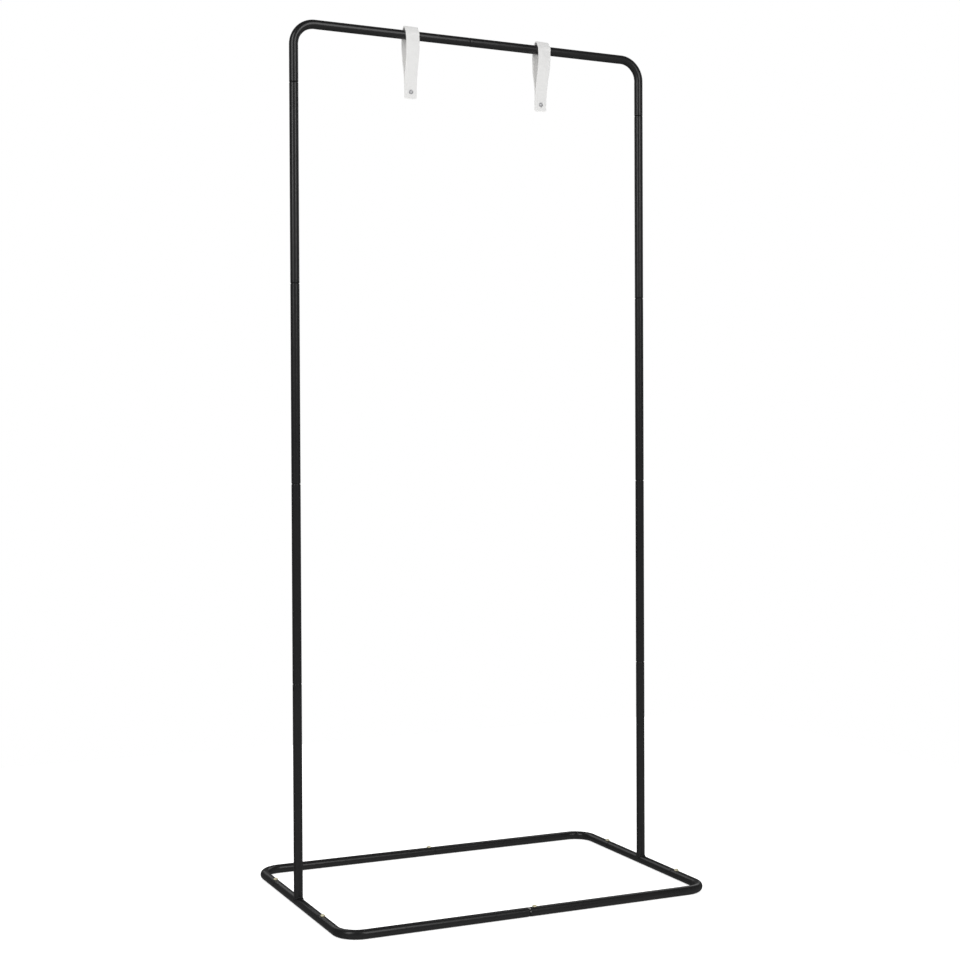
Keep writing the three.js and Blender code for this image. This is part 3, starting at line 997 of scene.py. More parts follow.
# ------------------------------------------------------------------ tube
@dataclass(frozen=True)
class Route:
    """Where a tube runs: a first tip, a corner that is rounded off, and a second tip."""

    start: Vector
    corner: Vector
    end: Vector
    bend_radius: float = 0.0

    @classmethod
    def straight_line(cls, start: Vector, end: Vector) -> "Route":
        """A route with no bend."""
        return cls(start, end, end)

    @property
    def along(self) -> Vector:
        """The direction of the first leg."""
        return (self.corner - self.start).normalized()

    @property
    def across(self) -> Vector:
        """The direction of the second leg, or any direction square to a straight tube."""
        leg = self.end - self.corner
        return leg.normalized() if leg.length > 0 else self.along.orthogonal().normalized()

    @property
    def first_leg(self) -> float:
        """The straight length before the bend."""
        return (self.corner - self.start).length - self.bend_radius

    @property
    def length(self) -> float:
        """The length along the tube's middle, from tip to tip.

        Returns:
            The length in metres.
        """
        if self.bend_radius <= 0:
            return self.first_leg
        second_leg = (self.end - self.corner).length - self.bend_radius
        return self.first_leg + self.bend_radius * math.pi / 2 + second_leg

    def bend_stations(self, steps: int, marks: Sequence[float]) -> list[float]:
        """Stations round the bend, with a few more before and after it.

        Args:
            steps: How many steps the bend has.
            marks: How far beyond each end of the bend the extra stations lie.

        Returns:
            The stations in rising order, or none for a straight tube.
        """
        if self.bend_radius <= 0:
            return []
        arc = self.bend_radius * math.pi / 2
        before = [self.first_leg - mark for mark in sorted(marks, reverse=True)]
        inside = [self.first_leg + arc * i / steps for i in range(steps + 1)]
        after = [self.first_leg + arc + mark for mark in sorted(marks)]
        return before + inside + after


OutlinePoint = tuple[float, float, float]


@dataclass(frozen=True)
class TubeStock:
    """The tube that the whole frame is made of, and how its ends are finished."""

    radius: float
    wall: float = 1.2 * MM
    clearance: float = 0.3 * MM
    spigot: float = 32.0 * MM
    cone: float = 1.5 * MM
    ledge: float = 0.8 * MM
    rub: float = 0.45
    lip: float = 0.6 * MM
    support: float = 1.2 * MM
    cone_foot: tuple[float, float] = (0.3 * MM, 0.12 * MM)
    cone_wear: float = 0.2
    bend_radius: float = 45.0 * MM
    bend_steps: int = 40
    bend_marks: tuple[float, ...] = (2.0 * MM, 4.0 * MM, 6.0 * MM, 9.0 * MM)
    sides: int = 56
    oval: float = 0.035
    ripple: float = 0.11 * MM

    @property
    def bore(self) -> float:
        """The inside radius of the full tube."""
        return self.radius - self.wall

    @property
    def spigot_radius(self) -> float:
        """The outside radius of a swaged end."""
        return self.bore - self.clearance

    @property
    def spigot_bore(self) -> float:
        """The inside radius of a swaged end."""
        return self.spigot_radius - self.wall

    def rounded(self, outside: float, inside: float) -> list[OutlinePoint]:
        """The rolled edge at a tip, from the outside in.

        Args:
            outside: The outside radius.
            inside: The inside radius.

        Returns:
            Each point's distance from the tip, radius and wear.
        """
        lip, half = self.lip, self.lip / 2
        arc = [(math.sin(a), math.cos(a)) for a in (math.pi / 2 * i / 4 for i in range(5))]
        outer = [(lip * (1 - s), outside - lip * (1 - c), 0.75 + 0.25 * s) for s, c in arc]
        inner = [(half * (1 - c), inside + half * (1 - s), 0.5 * c) for s, c in arc[::2]]
        return [(lip + self.support, outside, 0.0), *outer, *inner, (lip + self.support, inside, 0.0)]

    def finish_end(self, style: TubeEnd) -> list[OutlinePoint]:
        """One end of the outline, from the outside in.

        Args:
            style: How the end is finished.

        Returns:
            Each point's distance from the tip, radius and wear.
        """
        if style is TubeEnd.PLAIN:
            return self.rounded(self.radius, self.bore)
        if style is TubeEnd.SADDLE:
            walls = ((self.radius, (self.support, 0.0)), (self.bore, (0.0, self.support)))
            return [(distance, wall, 0.0) for wall, distances in walls for distance in distances]
        edge, foot = self.ledge, self.spigot - self.cone
        arc = [(math.sin(a), math.cos(a)) for a in (math.pi / 2 * i / 4 for i in range(5))]
        step, rise = self.cone_foot
        return [
            (self.spigot + edge + self.support, self.radius, 0.0),
            *((self.spigot + edge * (1 - s), self.radius - edge * (1 - c), 0.5 + 0.3 * s) for s, c in arc),
            (foot + step, self.spigot_radius + rise, self.cone_wear),
            (foot, self.spigot_radius, self.cone_wear),
            (foot - self.support, self.spigot_radius, 0.0),
            *self.rounded(self.spigot_radius, self.spigot_bore),
            (foot - self.support, self.spigot_bore, 0.0),
            (foot, self.spigot_bore, 0.0),
            (self.spigot, self.bore, 0.0),
            (self.spigot + self.support, self.bore, 0.0),
        ]

    def outline(self, route: Route, first: TubeEnd, last: TubeEnd, rub: float) -> list[OutlinePoint]:
        """The closed outline of a tube: out along its outside and back through its bore.

        Args:
            route: Where the tube runs.
            first: How its first tip is finished.
            last: How its second tip is finished.
            rub: How far the coat is rubbed off at its first tip.

        Returns:
            Each point's station, radius and wear.
        """
        bends = route.bend_stations(self.bend_steps, self.bend_marks)
        near = [(d, r, w * rub) for d, r, w in reversed(self.finish_end(first))]
        far = [(route.length - d, r, w * self.rub) for d, r, w in self.finish_end(last)]
        outside = [(s, self.radius, 0.0) for s in bends]
        inside = [(s, self.bore, 0.0) for s in reversed(bends)]
        return near + outside + far + inside

    def cut(
        self,
        name: str,
        route: Route,
        first: TubeEnd,
        last: TubeEnd,
        saddle: float = 0.0,
        rub: float | None = None,
    ) -> bpy.types.Object:
        """Makes one tube.

        Args:
            name: The piece's name.
            route: Where it runs.
            first: How its first tip is finished.
            last: How its second tip is finished.
            saddle: The radius that its first tip is cut to sit on, or 0.
            rub: How far the coat is rubbed off at its first tip, where it isn't the usual amount.

        Returns:
            The finished tube.
        """
        rub = self.rub if rub is None else rub
        outline = points_mesh(name, self.outline(route, first, last, rub))
        bent = route.bend_radius > 0
        values = {
            "Start": tuple(route.start),
            "Along": tuple(route.along),
            "Across": tuple(route.across),
            "Straight": route.first_leg if bent else 2 * route.length,
            "Bend radius": route.bend_radius if bent else 1.0,
            "Oval": self.oval if bent else 0.0,
            "Ripple": self.ripple if bent else 0.0,
            "Saddle": saddle,
            "Sides": self.sides,
        }
        return clean(ROUND_STOCK.run(name, outline, POWDER_COAT, values))

    def stem(self, name: str, foot: Vector, top: Vector, across: Vector) -> bpy.types.Object:
        """Makes a tube that stands on a tube of the same size, from that one's axis to a swaged tip."""
        route = Route(foot, top, top + across)
        return self.cut(name, route, TubeEnd.SADDLE, TubeEnd.SWAGED, self.radius + self.clearance)


# ------------------------------------------------------------------ turned parts
@dataclass(frozen=True)
class Thread:
    """A cut thread: the distance between its turns and how deep it is."""

    pitch: float
    depth: float


@dataclass
class Lathe:
    """Gathers the outline of a small turned part, as (height, radius, share of the thread's depth)."""

    sides: int = 40
    thread: Thread | None = None
    rows: list[tuple[float, float, float]] = field(default_factory=list)

    def point(self, height: float, radius: float, threaded: float = 0.0) -> "Lathe":
        """Adds one point."""
        self.rows.append((height, radius, threaded))
        return self

    def arc(
        self,
        centre: tuple[float, float],
        size: tuple[float, float],
        start: float,
        stop: float,
        steps: int,
    ) -> "Lathe":
        """Adds an elliptic arc.

        Args:
            centre: Its middle, as (height, radius).
            size: Its half sizes along and across the axis.
            start: Its first angle in degrees, from the axis.
            stop: Its last angle in degrees.
            steps: How many steps it has.

        Returns:
            The same lathe.
        """
        for i in range(steps + 1):
            angle = math.radians(start + (stop - start) * i / steps)
            self.point(centre[0] + size[0] * math.cos(angle), centre[1] + size[1] * math.sin(angle))
        return self

    def shank(self, tip: float, seat: float, radius: float, runout: float) -> "Lathe":
        """Adds a threaded shank from its bevelled tip up to a smooth run-out under the head.

        Args:
            tip: The height of its tip.
            seat: The height where the head starts.
            radius: Its outside radius.
            runout: The length without thread under the head.

        Returns:
            The same lathe.
        """
        bevel = self.thread.depth * 1.2
        self.point(tip, 0.0).point(tip, radius - bevel)
        step = self.thread.pitch / 6
        count = int((seat - runout - tip - bevel) / step)
        for i in range(count + 1):
            self.point(tip + bevel + i * step, radius, min(i / 6, (count - i) / 6, 1.0))
        return self.point(seat, radius)

    def turn(self, name: str) -> bpy.types.Object:
        """Makes the part about +Z.

        Args:
            name: Its name.

        Returns:
            The part.
        """
        height, radius, share = np.array(self.rows).T
        height, angle = np.meshgrid(height, np.arange(self.sides) * math.tau / self.sides, indexing="ij")
        reach = radius[:, None] + np.zeros_like(angle)
        if self.thread:
            phase = (height / self.thread.pitch - angle / math.tau) % 1.0
            reach -= share[:, None] * self.thread.depth * np.clip(np.abs(phase - 0.5) * 3.6 - 0.4, 0.0, 1.0)
        points = np.stack([reach * np.cos(angle), reach * np.sin(angle), height], axis=-1).reshape(-1, 3)
        faces = [
            (r * self.sides + c, r * self.sides + (c + 1) % self.sides,
             (r + 1) * self.sides + (c + 1) % self.sides, (r + 1) * self.sides + c)
            for r in range(len(self.rows) - 1) for c in range(self.sides)
        ]
        mesh = bpy.data.meshes.new(name)
        mesh.from_pydata(points.tolist(), [], faces)
        work = bmesh.new()
        work.from_mesh(mesh)
        bmesh.ops.remove_doubles(work, verts=work.verts, dist=MERGE)
        work.to_mesh(mesh)
        work.free()
        return crease(clean(place(name, mesh)), TURNED_CREASE_ANGLE)


def crease(piece: bpy.types.Object, sharp: float = CREASE_ANGLE) -> bpy.types.Object:
    """Shades a piece smooth, but for its sharp edges.

    Args:
        piece: The piece.
        sharp: The angle in degrees past which an edge stays sharp.

    Returns:
        The same piece.
    """
    piece.data.shade_smooth()
    piece.data.set_sharp_from_angle(angle=math.radians(sharp))
    return piece


def stand(piece: bpy.types.Object, seat: Vector, axis: Vector) -> bpy.types.Object:
    """Moves the mesh of a part made about +Z to its seat, along its axis.

    Args:
        piece: The part.
        seat: Where its height 0 goes.
        axis: Where its +Z points.

    Returns:
        The part.
    """
    turn = Vector((0, 0, 1)).rotation_difference(axis).to_matrix().to_4x4()
    piece.data.transform(Matrix.Translation(seat) @ turn)
    return piece


def cross(length: float, width: float) -> list[tuple[float, float]]:
    """The outline of a cross recess, anticlockwise.

    Args:
        length: From the end of one arm to the end of the opposite one.
        width: The width of an arm.

    Returns:
        Its corners.
    """
    arm, half = length / 2, width / 2
    quarter = [(arm, -half), (arm, half), (half, half)]
    turns = [(1, 0), (0, 1), (-1, 0), (0, -1)]
    return [(x * c - y * s, x * s + y * c) for c, s in turns for x, y in quarter]


def bar(length: float, width: float) -> list[tuple[float, float]]:
    """The outline of a slot, anticlockwise."""
    arm, half = length / 2, width / 2
    return [(-arm, -half), (arm, -half), (arm, half), (-arm, half)]


# ------------------------------------------------------------------ sub-assemblies
@dataclass
class Made:
    """A finished piece and what it stands for."""

    piece: bpy.types.Object
    finish: Finish
    body: Body
    nodes: tuple[str, ...]


@dataclass
class SubAssembly:
    """A group of pieces that is built and then dressed."""

    made: list[Made] = field(default_factory=list, init=False)

    def add(self, piece: bpy.types.Object, finish: Finish, body: Body, *nodes: str) -> None:
        """Notes a finished piece, its finish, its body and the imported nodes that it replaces."""
        self.made.append(Made(piece, finish, body, nodes))

    def build(self) -> None:
        """Makes the pieces."""
        raise NotImplementedError

    def dress(self) -> None:
        """Gives each piece its finish and puts it on its body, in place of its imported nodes."""
        for made in self.made:
            if not made.piece.data.materials:
                made.piece.data.materials.append(made.finish.material())
            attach(made.piece, made.body.value)
            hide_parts(*made.nodes)
            faces = len(made.piece.data.polygons)
            LOG.info("%s: %d faces in %s", made.piece.name, faces, made.finish.name)


@dataclass(frozen=True)
class ScrewPlace:
    """Where a base screw goes down through a tube's crest."""

    node: str

    @property
    def point(self) -> Vector:
        """The screw's axis where it crosses the floor."""
        centre = middle(self.node)
        return Vector((centre.x, centre.y, 0.0))


SCREW_NAMES = ("front_rail", "back_rail", "left_front", "left_back", "right_front", "right_back")
SCREWS = {name: ScrewPlace(f"{name}_screw") for name in SCREW_NAMES}


def leg(low: float, high: float, sign: int, radius: float) -> tuple[float, float]:
    """Where a bent tube's leg and open tip lie between its box's sides, with the leg on the sign's side."""
    return (low + radius, high) if sign < 0 else (high - radius, low)


@dataclass
class BaseLoop(SubAssembly):
    """The base on the floor: four corner tubes, two side tubes, two feet and their weld beads."""

    stock: TubeStock
    hole_radius: float = 2.7 * MM
    collar_wall: float = 1.25 * MM
    collar_depth: float = 3.3 * MM
    collar_sink: float = 0.1 * MM
    bead_radius: float = 1.9 * MM
    ripples: float = 34.0
    front_rub: float = 1.9

    def build(self) -> None:
        """Makes the tubes with their screw holes and collars, and lays the beads."""
        for end, sy in (("front", -1), ("back", 1)):
            for side, sx in (("left", -1), ("right", 1)):
                self.corner(end, side, sx, sy)
        for seed, side in enumerate(("left", "right")):
            self.side(side)
            self.foot(side)
            self.bead(side, float(seed))

    def corner(self, end: str, side: str, sx: int, sy: int) -> None:
        """Makes one corner tube.

        Args:
            end: "front" or "back".
            side: "left" or "right".
            sx: -1 on the left, 1 on the right.
            sy: -1 at the front, 1 at the back.
        """
        node = f"{end}_{side}_corner_tube"
        low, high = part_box(node)
        radius = self.stock.radius
        x_out, x_tip = leg(low.x, high.x, sx, radius)
        y_out, y_tip = leg(low.y, high.y, sy, radius)
        height = low.z + radius
        stops = [Vector((x, y, height)) for x, y in ((x_tip, y_out), (x_out, y_out), (x_out, y_tip))]
        route = Route(*stops, self.stock.bend_radius)
        swaged = sx == sy
        tip = TubeEnd.SWAGED if swaged else TubeEnd.PLAIN
        rub = self.front_rub if end == "front" else None
        tube = self.stock.cut(node + "_round", route, tip, TubeEnd.PLAIN, rub=rub)
        rail_screw, side_screw = SCREWS[f"{end}_rail"], SCREWS[f"{side}_{end}"]
        if swaged:
            self.draw_collar(tube, rail_screw, height)
        self.drill(tube, [rail_screw, side_screw], height)
        self.add(tube, POWDER_COAT, Body.FRAME, node)

    def side(self, side: str) -> None:
        """Makes one side tube, swaged at both ends.

        Args:
            side: "left" or "right".
        """
        node = f"{side}_side_tube"
        low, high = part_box(node)
        centre = middle(node)
        tips = (Vector((centre.x, y, centre.z)) for y in (low.y, high.y))
        route = Route.straight_line(*tips)
        tube = self.stock.cut(node + "_round", route, TubeEnd.SWAGED, TubeEnd.SWAGED)
        screws = [SCREWS[f"{side}_front"], SCREWS[f"{side}_back"]]
        for screw in screws:
            self.draw_collar(tube, screw, centre.z)
        self.drill(tube, screws, centre.z)
        self.add(tube, POWDER_COAT, Body.FRAME, node)

    def foot(self, side: str) -> None:
        """Makes one foot tube, cut to a saddle below.

        Args:
            side: "left" or "right".
        """
        node = f"{side}_foot_tube"
        below, above = middle(f"{side}_side_tube"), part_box(node)[1]
        top = Vector((below.x, below.y, above.z))
        tube = self.stock.stem(node + "_round", below, top, Vector((1, 0, 0)))
        self.add(crease(tube), POWDER_COAT, Body.FRAME, node)

    def bead(self, side: str, seed: float) -> None:
        """Lays one weld bead round a foot.

        Args:
            side: "left" or "right".
            seed: Where its unevenness is drawn from.
        """
        node = f"{side}_foot_weld"
        values = {
            "Centre": tuple(middle(f"{side}_side_tube")),
            "Tube radius": self.stock.radius,
            "Bead radius": self.bead_radius,
            "Ripples": self.ripples,
            "Seed": seed,
        }
        bead = clean(WELD_BEAD.run(node + "_bead", points_mesh(node, []), POWDER_COAT, values))
        self.add(bead, POWDER_COAT, Body.FRAME, node)

    def draw_collar(self, tube: bpy.types.Object, screw: ScrewPlace, height: float) -> None:
        """Adds the collar that is drawn down inside a swaged end round a tapped hole.

        Args:
            tube: The tube.
            screw: The screw that it takes.
            height: The height of the tube's axis.
        """
        outside = self.hole_radius + self.collar_wall
        top = height + math.sqrt(self.stock.spigot_radius ** 2 - outside ** 2) - self.collar_sink
        low = height + self.stock.spigot_bore - self.collar_depth
        collar = prism("collar", circle(outside), low, top)
        collar.data.transform(Matrix.Translation(screw.point))
        combine_solids(tube, collar, "UNION")

    def drill(self, tube: bpy.types.Object, screws: Sequence[ScrewPlace], height: float) -> None:
        """Drills the screw holes through a tube's upper wall.

        Args:
            tube: The tube.
            screws: The screws that go through it.
            height: The height of the tube's axis.
        """
        for screw in screws:
            drill = prism("drill", circle(self.hole_radius), height, height + 2 * self.stock.radius)
            drill.data.transform(Matrix.Translation(screw.point))
            combine_solids(tube, drill, "DIFFERENCE")
        crease(clean(tube))


@dataclass
class BaseScrews(SubAssembly):
    """The six pan-head screws of the base, all one piece of stock set on six points."""

    crest: float
    length: float = 12.0 * MM
    radius: float = 2.5 * MM
    head_radius: float = 4.75 * MM
    head_height: float = 3.5 * MM
    rim: float = 1.0 * MM
    recess: float = 4.9 * MM
    recess_width: float = 1.15 * MM
    recess_depth: float = 1.9 * MM
    recess_taper: float = 0.5
    runout: float = 1.2 * MM
    seat_edge: float = 0.25 * MM
    tip: float = 0.035
    seed: int = 7
    thread: Thread = Thread(0.8 * MM, 0.42 * MM)

    def build(self) -> None:
        """Makes one screw and sets it on every place."""
        master = self.screw()
        seats = [screw.point + Vector((0, 0, self.crest)) for screw in SCREWS.values()]
        places = points_mesh("base_screws", seats)
        values = {"Fastener": master, "Tip": self.tip, "Seed": self.seed}
        row = clean(FASTENER_ROW.run("base_screws", places, YELLOW_ZINC, values))
        discard(master)
        nodes = (screw.node for screw in SCREWS.values())
        self.add(crease(row), YELLOW_ZINC, Body.FRAME, *nodes)

    def screw(self) -> bpy.types.Object:
        """One screw, its head's seat at the origin.

        Returns:
            The screw.
        """
        flat, foot = self.head_radius - self.seat_edge, self.rim * 0.4
        lathe = Lathe(thread=self.thread).shank(-self.length, 0.0, self.radius, self.runout)
        lathe.point(0.0, flat)
        lathe.arc((foot, flat), (foot, self.seat_edge), 180, 90, 3)
        lathe.arc((self.rim, 0.0), (self.head_height - self.rim, self.head_radius), 90, 0, 10)
        screw = lathe.turn("screw_stock")
        outline = cross(self.recess, self.recess_width)
        low, high = self.head_height - self.recess_depth, self.head_height + OVERSHOOT
        punch = prism("punch", outline, low, high, self.recess_taper)
        return crease(clean(combine_solids(screw, punch, "DIFFERENCE")))


@dataclass
class Upright(SubAssembly):
    """The straight tubes that stand on one foot."""

    stock: TubeStock
    side: str
    count: int = 3

    def build(self) -> None:
        """Makes each tube, plain below and swaged above."""
        for i in range(self.count):
            node = f"{self.side}_upright_tube_{i + 1}"
            low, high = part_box(node)
            centre = middle(node)
            tips = (Vector((centre.x, centre.y, z)) for z in (low.z, high.z))
            route = Route.straight_line(*tips)
            tube = self.stock.cut(node + "_round", route, TubeEnd.PLAIN, TubeEnd.SWAGED)
            self.add(crease(tube), POWDER_COAT, Body.FRAME, node)


@dataclass
class Rail(SubAssembly):
    """The arched rail in two halves, the right one swaged into the left one."""

    stock: TubeStock

    def build(self) -> None:
        """Makes both halves."""
        for side, sx in (("left", -1), ("right", 1)):
            node = f"{side}_top_tube"
            low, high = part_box(node)
            radius = self.stock.radius
            x_out, x_tip = leg(low.x, high.x, sx, radius)
            y, top = (low.y + high.y) / 2, high.z - radius
            stops = [Vector((x, y, z)) for x, z in ((x_out, low.z), (x_out, top), (x_tip, top))]
            route = Route(*stops, self.stock.bend_radius)
            tip = TubeEnd.PLAIN if sx < 0 else TubeEnd.SWAGED
            tube = self.stock.cut(node + "_round", route, TubeEnd.PLAIN, tip)
            self.add(crease(tube), POWDER_COAT, Body.FRAME, node)


@dataclass
class LeatherLoop(SubAssembly):
    """One strip of leather folded over the rail and closed by a screw post."""

    side: str
    rail: bpy.types.Object
    rail_radius: float
    body: Body
    lean: float
    slip: float
    twist: float
    thickness: float = 3.0 * MM
    edge: float = 0.55 * MM
    corner: float = 2.6 * MM
    end_width: float = 26.0 * MM
    rail_gap: float = 0.08 * MM
    leaf_gap: float = 0.10 * MM
    meet: float = 98.0 * MM
    step: float = 1.5 * MM
    columns: int = 20
    dimple: float = 0.35 * MM
    dimple_radius: float = 6.5 * MM
    waviness: float = 0.16 * MM
    post_radius: float = 2.6 * MM
    post_gap: float = 0.1 * MM
    post_bevel: float = 0.2 * MM
    bore_radius: float = 1.75 * MM
    cap_radius: float = 4.75 * MM
    cap_height: float = 1.9 * MM
    cap_foot: float = 0.3 * MM
    cap_rim: float = 0.5 * MM
    cap_groove: float = 0.9 * MM
    dome_inset: float = 1.0 * MM
    shank_gap: float = 0.1 * MM
    runout: float = 0.6 * MM
    slot_width: float = 1.0 * MM
    slot_depth: float = 0.9 * MM
    thread: Thread = Thread(0.5 * MM, 0.26 * MM)
    low: Vector = field(init=False)
    high: Vector = field(init=False)
    centre: Vector = field(init=False)
    rivet: Vector = field(init=False)
    rail_height: float = field(init=False)
    length: float = field(init=False)

    SHOULDER = (50.0, 72.0, 94.0)
    BELLY = ((1.0, 0.2), (0.88, 0.45), (0.45, 0.7), (0.1, 0.88), (0.0, 1.0))
    WAVES = ((61.0, 1.0, 0.0), (149.0, 0.6, 1.0))

    @property
    def leaf(self) -> float:
        """How far a leaf's middle lies from the loop's middle where the leaves meet."""
        return (self.thickness + self.leaf_gap) / 2

    @property
    def seat(self) -> float:
        """How far the underside of a cap lies from the loop's middle."""
        return self.leaf + self.thickness / 2 - self.dimple

    def build(self) -> None:
        """Makes the strip, the post and the screw."""
        strap, post, screw = (f"{self.side}_{part}" for part in ("strap", "strap_post", "strap_screw"))
        self.low, self.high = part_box(strap)
        self.centre = (self.low + self.high) / 2
        self.rail_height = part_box(f"{self.side}_top_tube")[1].z - self.rail_radius
        self.rivet = Vector(self.hang(np.array(0.0), np.array(0.0), np.array(middle(post).z)))
        line = self.line()
        self.length = float(np.linalg.norm(np.diff(line, axis=0), axis=1).sum())
        leather = self.strip(strap + "_leather", line)
        reach = self.cap_radius * 2
        drill = prism("drill", circle(self.post_radius + self.post_gap), -reach, reach)
        combine_solids(leather, stand(drill, self.rivet, Vector((0, 1, 0))), "DIFFERENCE")
        self.add(clean(leather), WHITE_LEATHER, self.body, strap)
        self.add(self.post(post + "_cap"), DULL_NICKEL, self.body, post)
        self.add(self.screw(screw + "_head"), DULL_NICKEL, self.body, screw)

    def dress(self) -> None:
        super().dress()
        leather, post, screw = (made.piece for made in self.made)
        flat = (self.high.x - self.low.x, self.length)
        LOG.info("%s: cut to %.1f by %.1f mm", leather.name, flat[0] / MM, flat[1] / MM)

    def hang(self, x: np.ndarray, y: np.ndarray, z: np.ndarray) -> np.ndarray:
        """Moves points of a square loop to where the slipped and slightly turned loop has them.

        Args:
            x: How far the points lie from the loop's middle, along the rail.
            y: How far they lie behind it.
            z: Their height.

        Returns:
            Their places, kept clear of the rail.
        """
        rise = (z - self.low.z) / (self.high.z - self.low.z)
        turn = math.radians(self.twist) * np.clip(rise, 0.0, 1.0) ** 1.5
        across = self.slip + self.lean * (rise - 0.5) + x * np.cos(turn) - y * np.sin(turn)
        depth = x * np.sin(turn) + y * np.cos(turn)
        level = z - self.rail_height
        push = np.maximum(1.0, self.rest / np.maximum(np.hypot(depth, level), MM))
        places = [self.centre.x + across, self.centre.y + depth * push, self.rail_height + level * push]
        return np.stack(places, axis=-1)

    @property
    def rest(self) -> float:
        """The distance from the rail's axis to the middle of the leather that lies on it."""
        return self.rail_radius + self.rail_gap + self.thickness / 2

    def line(self) -> np.ndarray:
        """The leather's middle line, from the front end over the rail to the back end.

        Returns:
            Evenly spaced (y, z) points.
        """
        rail, rest = self.rail_height, self.rest
        belly = (self.high.y - self.low.y) / 2 - self.thickness / 2
        apex = self.high.z - self.thickness / 2
        turns = [math.radians(a) for a in self.SHOULDER]
        half = [(0.0, apex)]
        half += [(rest * math.sin(a), rail + rest * math.cos(a)) for a in turns]
        leaf, meet = self.leaf, self.meet
        half += [(leaf + (belly - leaf) * out, rail - meet * down) for out, down in self.BELLY]
        half += [(leaf, (rail - meet + self.low.z) / 2), (leaf, self.low.z)]
        return fair([(-y, z) for y, z in reversed(half[1:])] + half, self.step)

    def section(self, at: float, length: float) -> list[OutlinePoint]:
        """The outer half of the strip's section, from its left side to its right.

        Args:
            at: Its distance along the strip.
            length: The strip's whole length.

        Returns:
            Each point's place across, its place outwards, and how far it belongs to the cut edge.
        """
        near = min(at, length - at)
        wide = self.high.x - self.low.x
        taper = wide + (self.end_width - wide) * abs(2 * at / length - 1)
        rounding, bevel = (
            size - math.sqrt(max(size ** 2 - max(size - near, 0.0) ** 2, 0.0))
            for size in (self.corner, self.edge)
        )
        half = self.thickness / 2 - bevel
        edge = min(self.edge, half)
        flat = taper / 2 - rounding - edge
        arc = [(math.sin(a), math.cos(a)) for a in (math.pi / 2 * i / 3 for i in range(3))]
        left = [(-flat - edge * c, half - edge + edge * s, 1.0 - 0.4 * s) for s, c in arc]
        face = [(flat * (2 * i / self.columns - 1), half, 0.0) for i in range(self.columns + 1)]
        return left + face + [(-x, out, cut) for x, out, cut in reversed(left)]

    def strip(self, name: str, line: np.ndarray) -> bpy.types.Object:
        """Makes the leather itself.

        Args:
            name: The piece's name.
            line: The line from line().

        Returns:
            The closed strip, with its UV map and its edge, inner-side and fold attributes.
        """
        run = np.concatenate([[0.0], np.cumsum(np.linalg.norm(np.diff(line, axis=0), axis=1))])
        ends = self.edge * (1 - np.cos(np.linspace(0.0, math.pi / 2, 4)))
        marks = np.concatenate([ends, np.arange(self.step, self.corner + self.step, self.step / 2)])
        inner = run[(run > marks[-1] + self.step / 2) & (run < run[-1] - marks[-1] - self.step / 2)]
        stations = np.concatenate([marks, inner, run[-1] - marks[::-1]])
        halves = np.array([self.section(float(at), float(run[-1])) for at in stations])
        mirrored = halves[:, ::-1] * (1.0, -1.0, 1.0)
        x, out, cut = np.moveaxis(np.concatenate([halves, mirrored], axis=1), 2, 0)
        inside = (np.arange(x.shape[1]) >= x.shape[1] // 2) * np.ones_like(x)
        y = np.interp(stations, run, line[:, 0])[:, None]
        z = np.interp(stations, run, line[:, 1])[:, None]
        waves = sum(share * np.sin(stations * rate + phase) for rate, share, phase in self.WAVES)
        x += self.waviness * waves[:, None]
        middle_face = self.hang(x, y, z)
        away = np.hypot(middle_face[..., 0] - self.rivet.x, middle_face[..., 2] - self.rivet.z)
        away /= self.dimple_radius
        out -= (1.0 - inside) * self.dimple * np.exp(-away ** 2)
        side = self.hang(x + MM, y, z) - self.hang(x - MM, y, z)
        normal = np.cross(side, np.gradient(middle_face, axis=0))
        normal /= np.linalg.norm(normal, axis=2, keepdims=True)
        points = middle_face + normal * out[..., None]
        near = np.minimum(stations, run[-1] - stations)[:, None]
        fold = np.exp(-((stations[:, None] - run[-1] / 2) / FOLD_REACH) ** 2) * np.ones_like(x)
        cut_edge = np.where(near < self.edge * 0.8, 1.0, cut)
        facts = {"cut_edge": cut_edge, "inner_side": inside, "fold": fold}
        return self.skin(name, stations, points, facts)

    def skin(
        self,
        name: str,
        stations: np.ndarray,
        points: np.ndarray,
        facts: Mapping[str, np.ndarray],
    ) -> bpy.types.Object:
        """Joins the sections into a closed strip.

        Args:
            name: The piece's name.
            stations: Each section's distance along the strip.
            points: The sections' points, a row for each section.
            facts: Named values on the same points.

        Returns:
            The strip.
        """
        rows, size = points.shape[:2]
        around = np.concatenate([points, points[:, :1]], axis=1)
        steps = np.diff(around, axis=1, prepend=points[:, :1])
        girth = np.cumsum(np.linalg.norm(steps, axis=2), axis=1)
        faces: list[tuple[int, ...]] = []
        spots: list[tuple[float, float]] = []
        for row in range(rows - 1):
            for k in range(size):
                corners = [(row, k), (row, k + 1), (row + 1, k + 1), (row + 1, k)]
                faces.append(tuple(r * size + c % size for r, c in corners))
                spots += [(girth[r, c], stations[r]) for r, c in corners]
        for row in (0, rows - 1):
            for k in range(size // 2 - 1):
                corners = [k, k + 1, size - 2 - k, size - 1 - k]
                faces.append(tuple(row * size + c for c in corners))
                ends = {c: stations[row] + self.thickness * (c >= size // 2) for c in corners}
                spots += [(points[row, c, 0], end) for c, end in ends.items()]
        mesh = bpy.data.meshes.new(name)
        mesh.from_pydata(points.reshape(-1, 3).tolist(), [], faces)
        mesh.uv_layers.new(name="leather").data.foreach_set("uv", np.array(spots).ravel())
        for key, values in facts.items():
            mesh.attributes.new(key, "FLOAT", "POINT").data.foreach_set("value", values.ravel())
        mesh.shade_smooth()
        return clean(place(name, mesh))

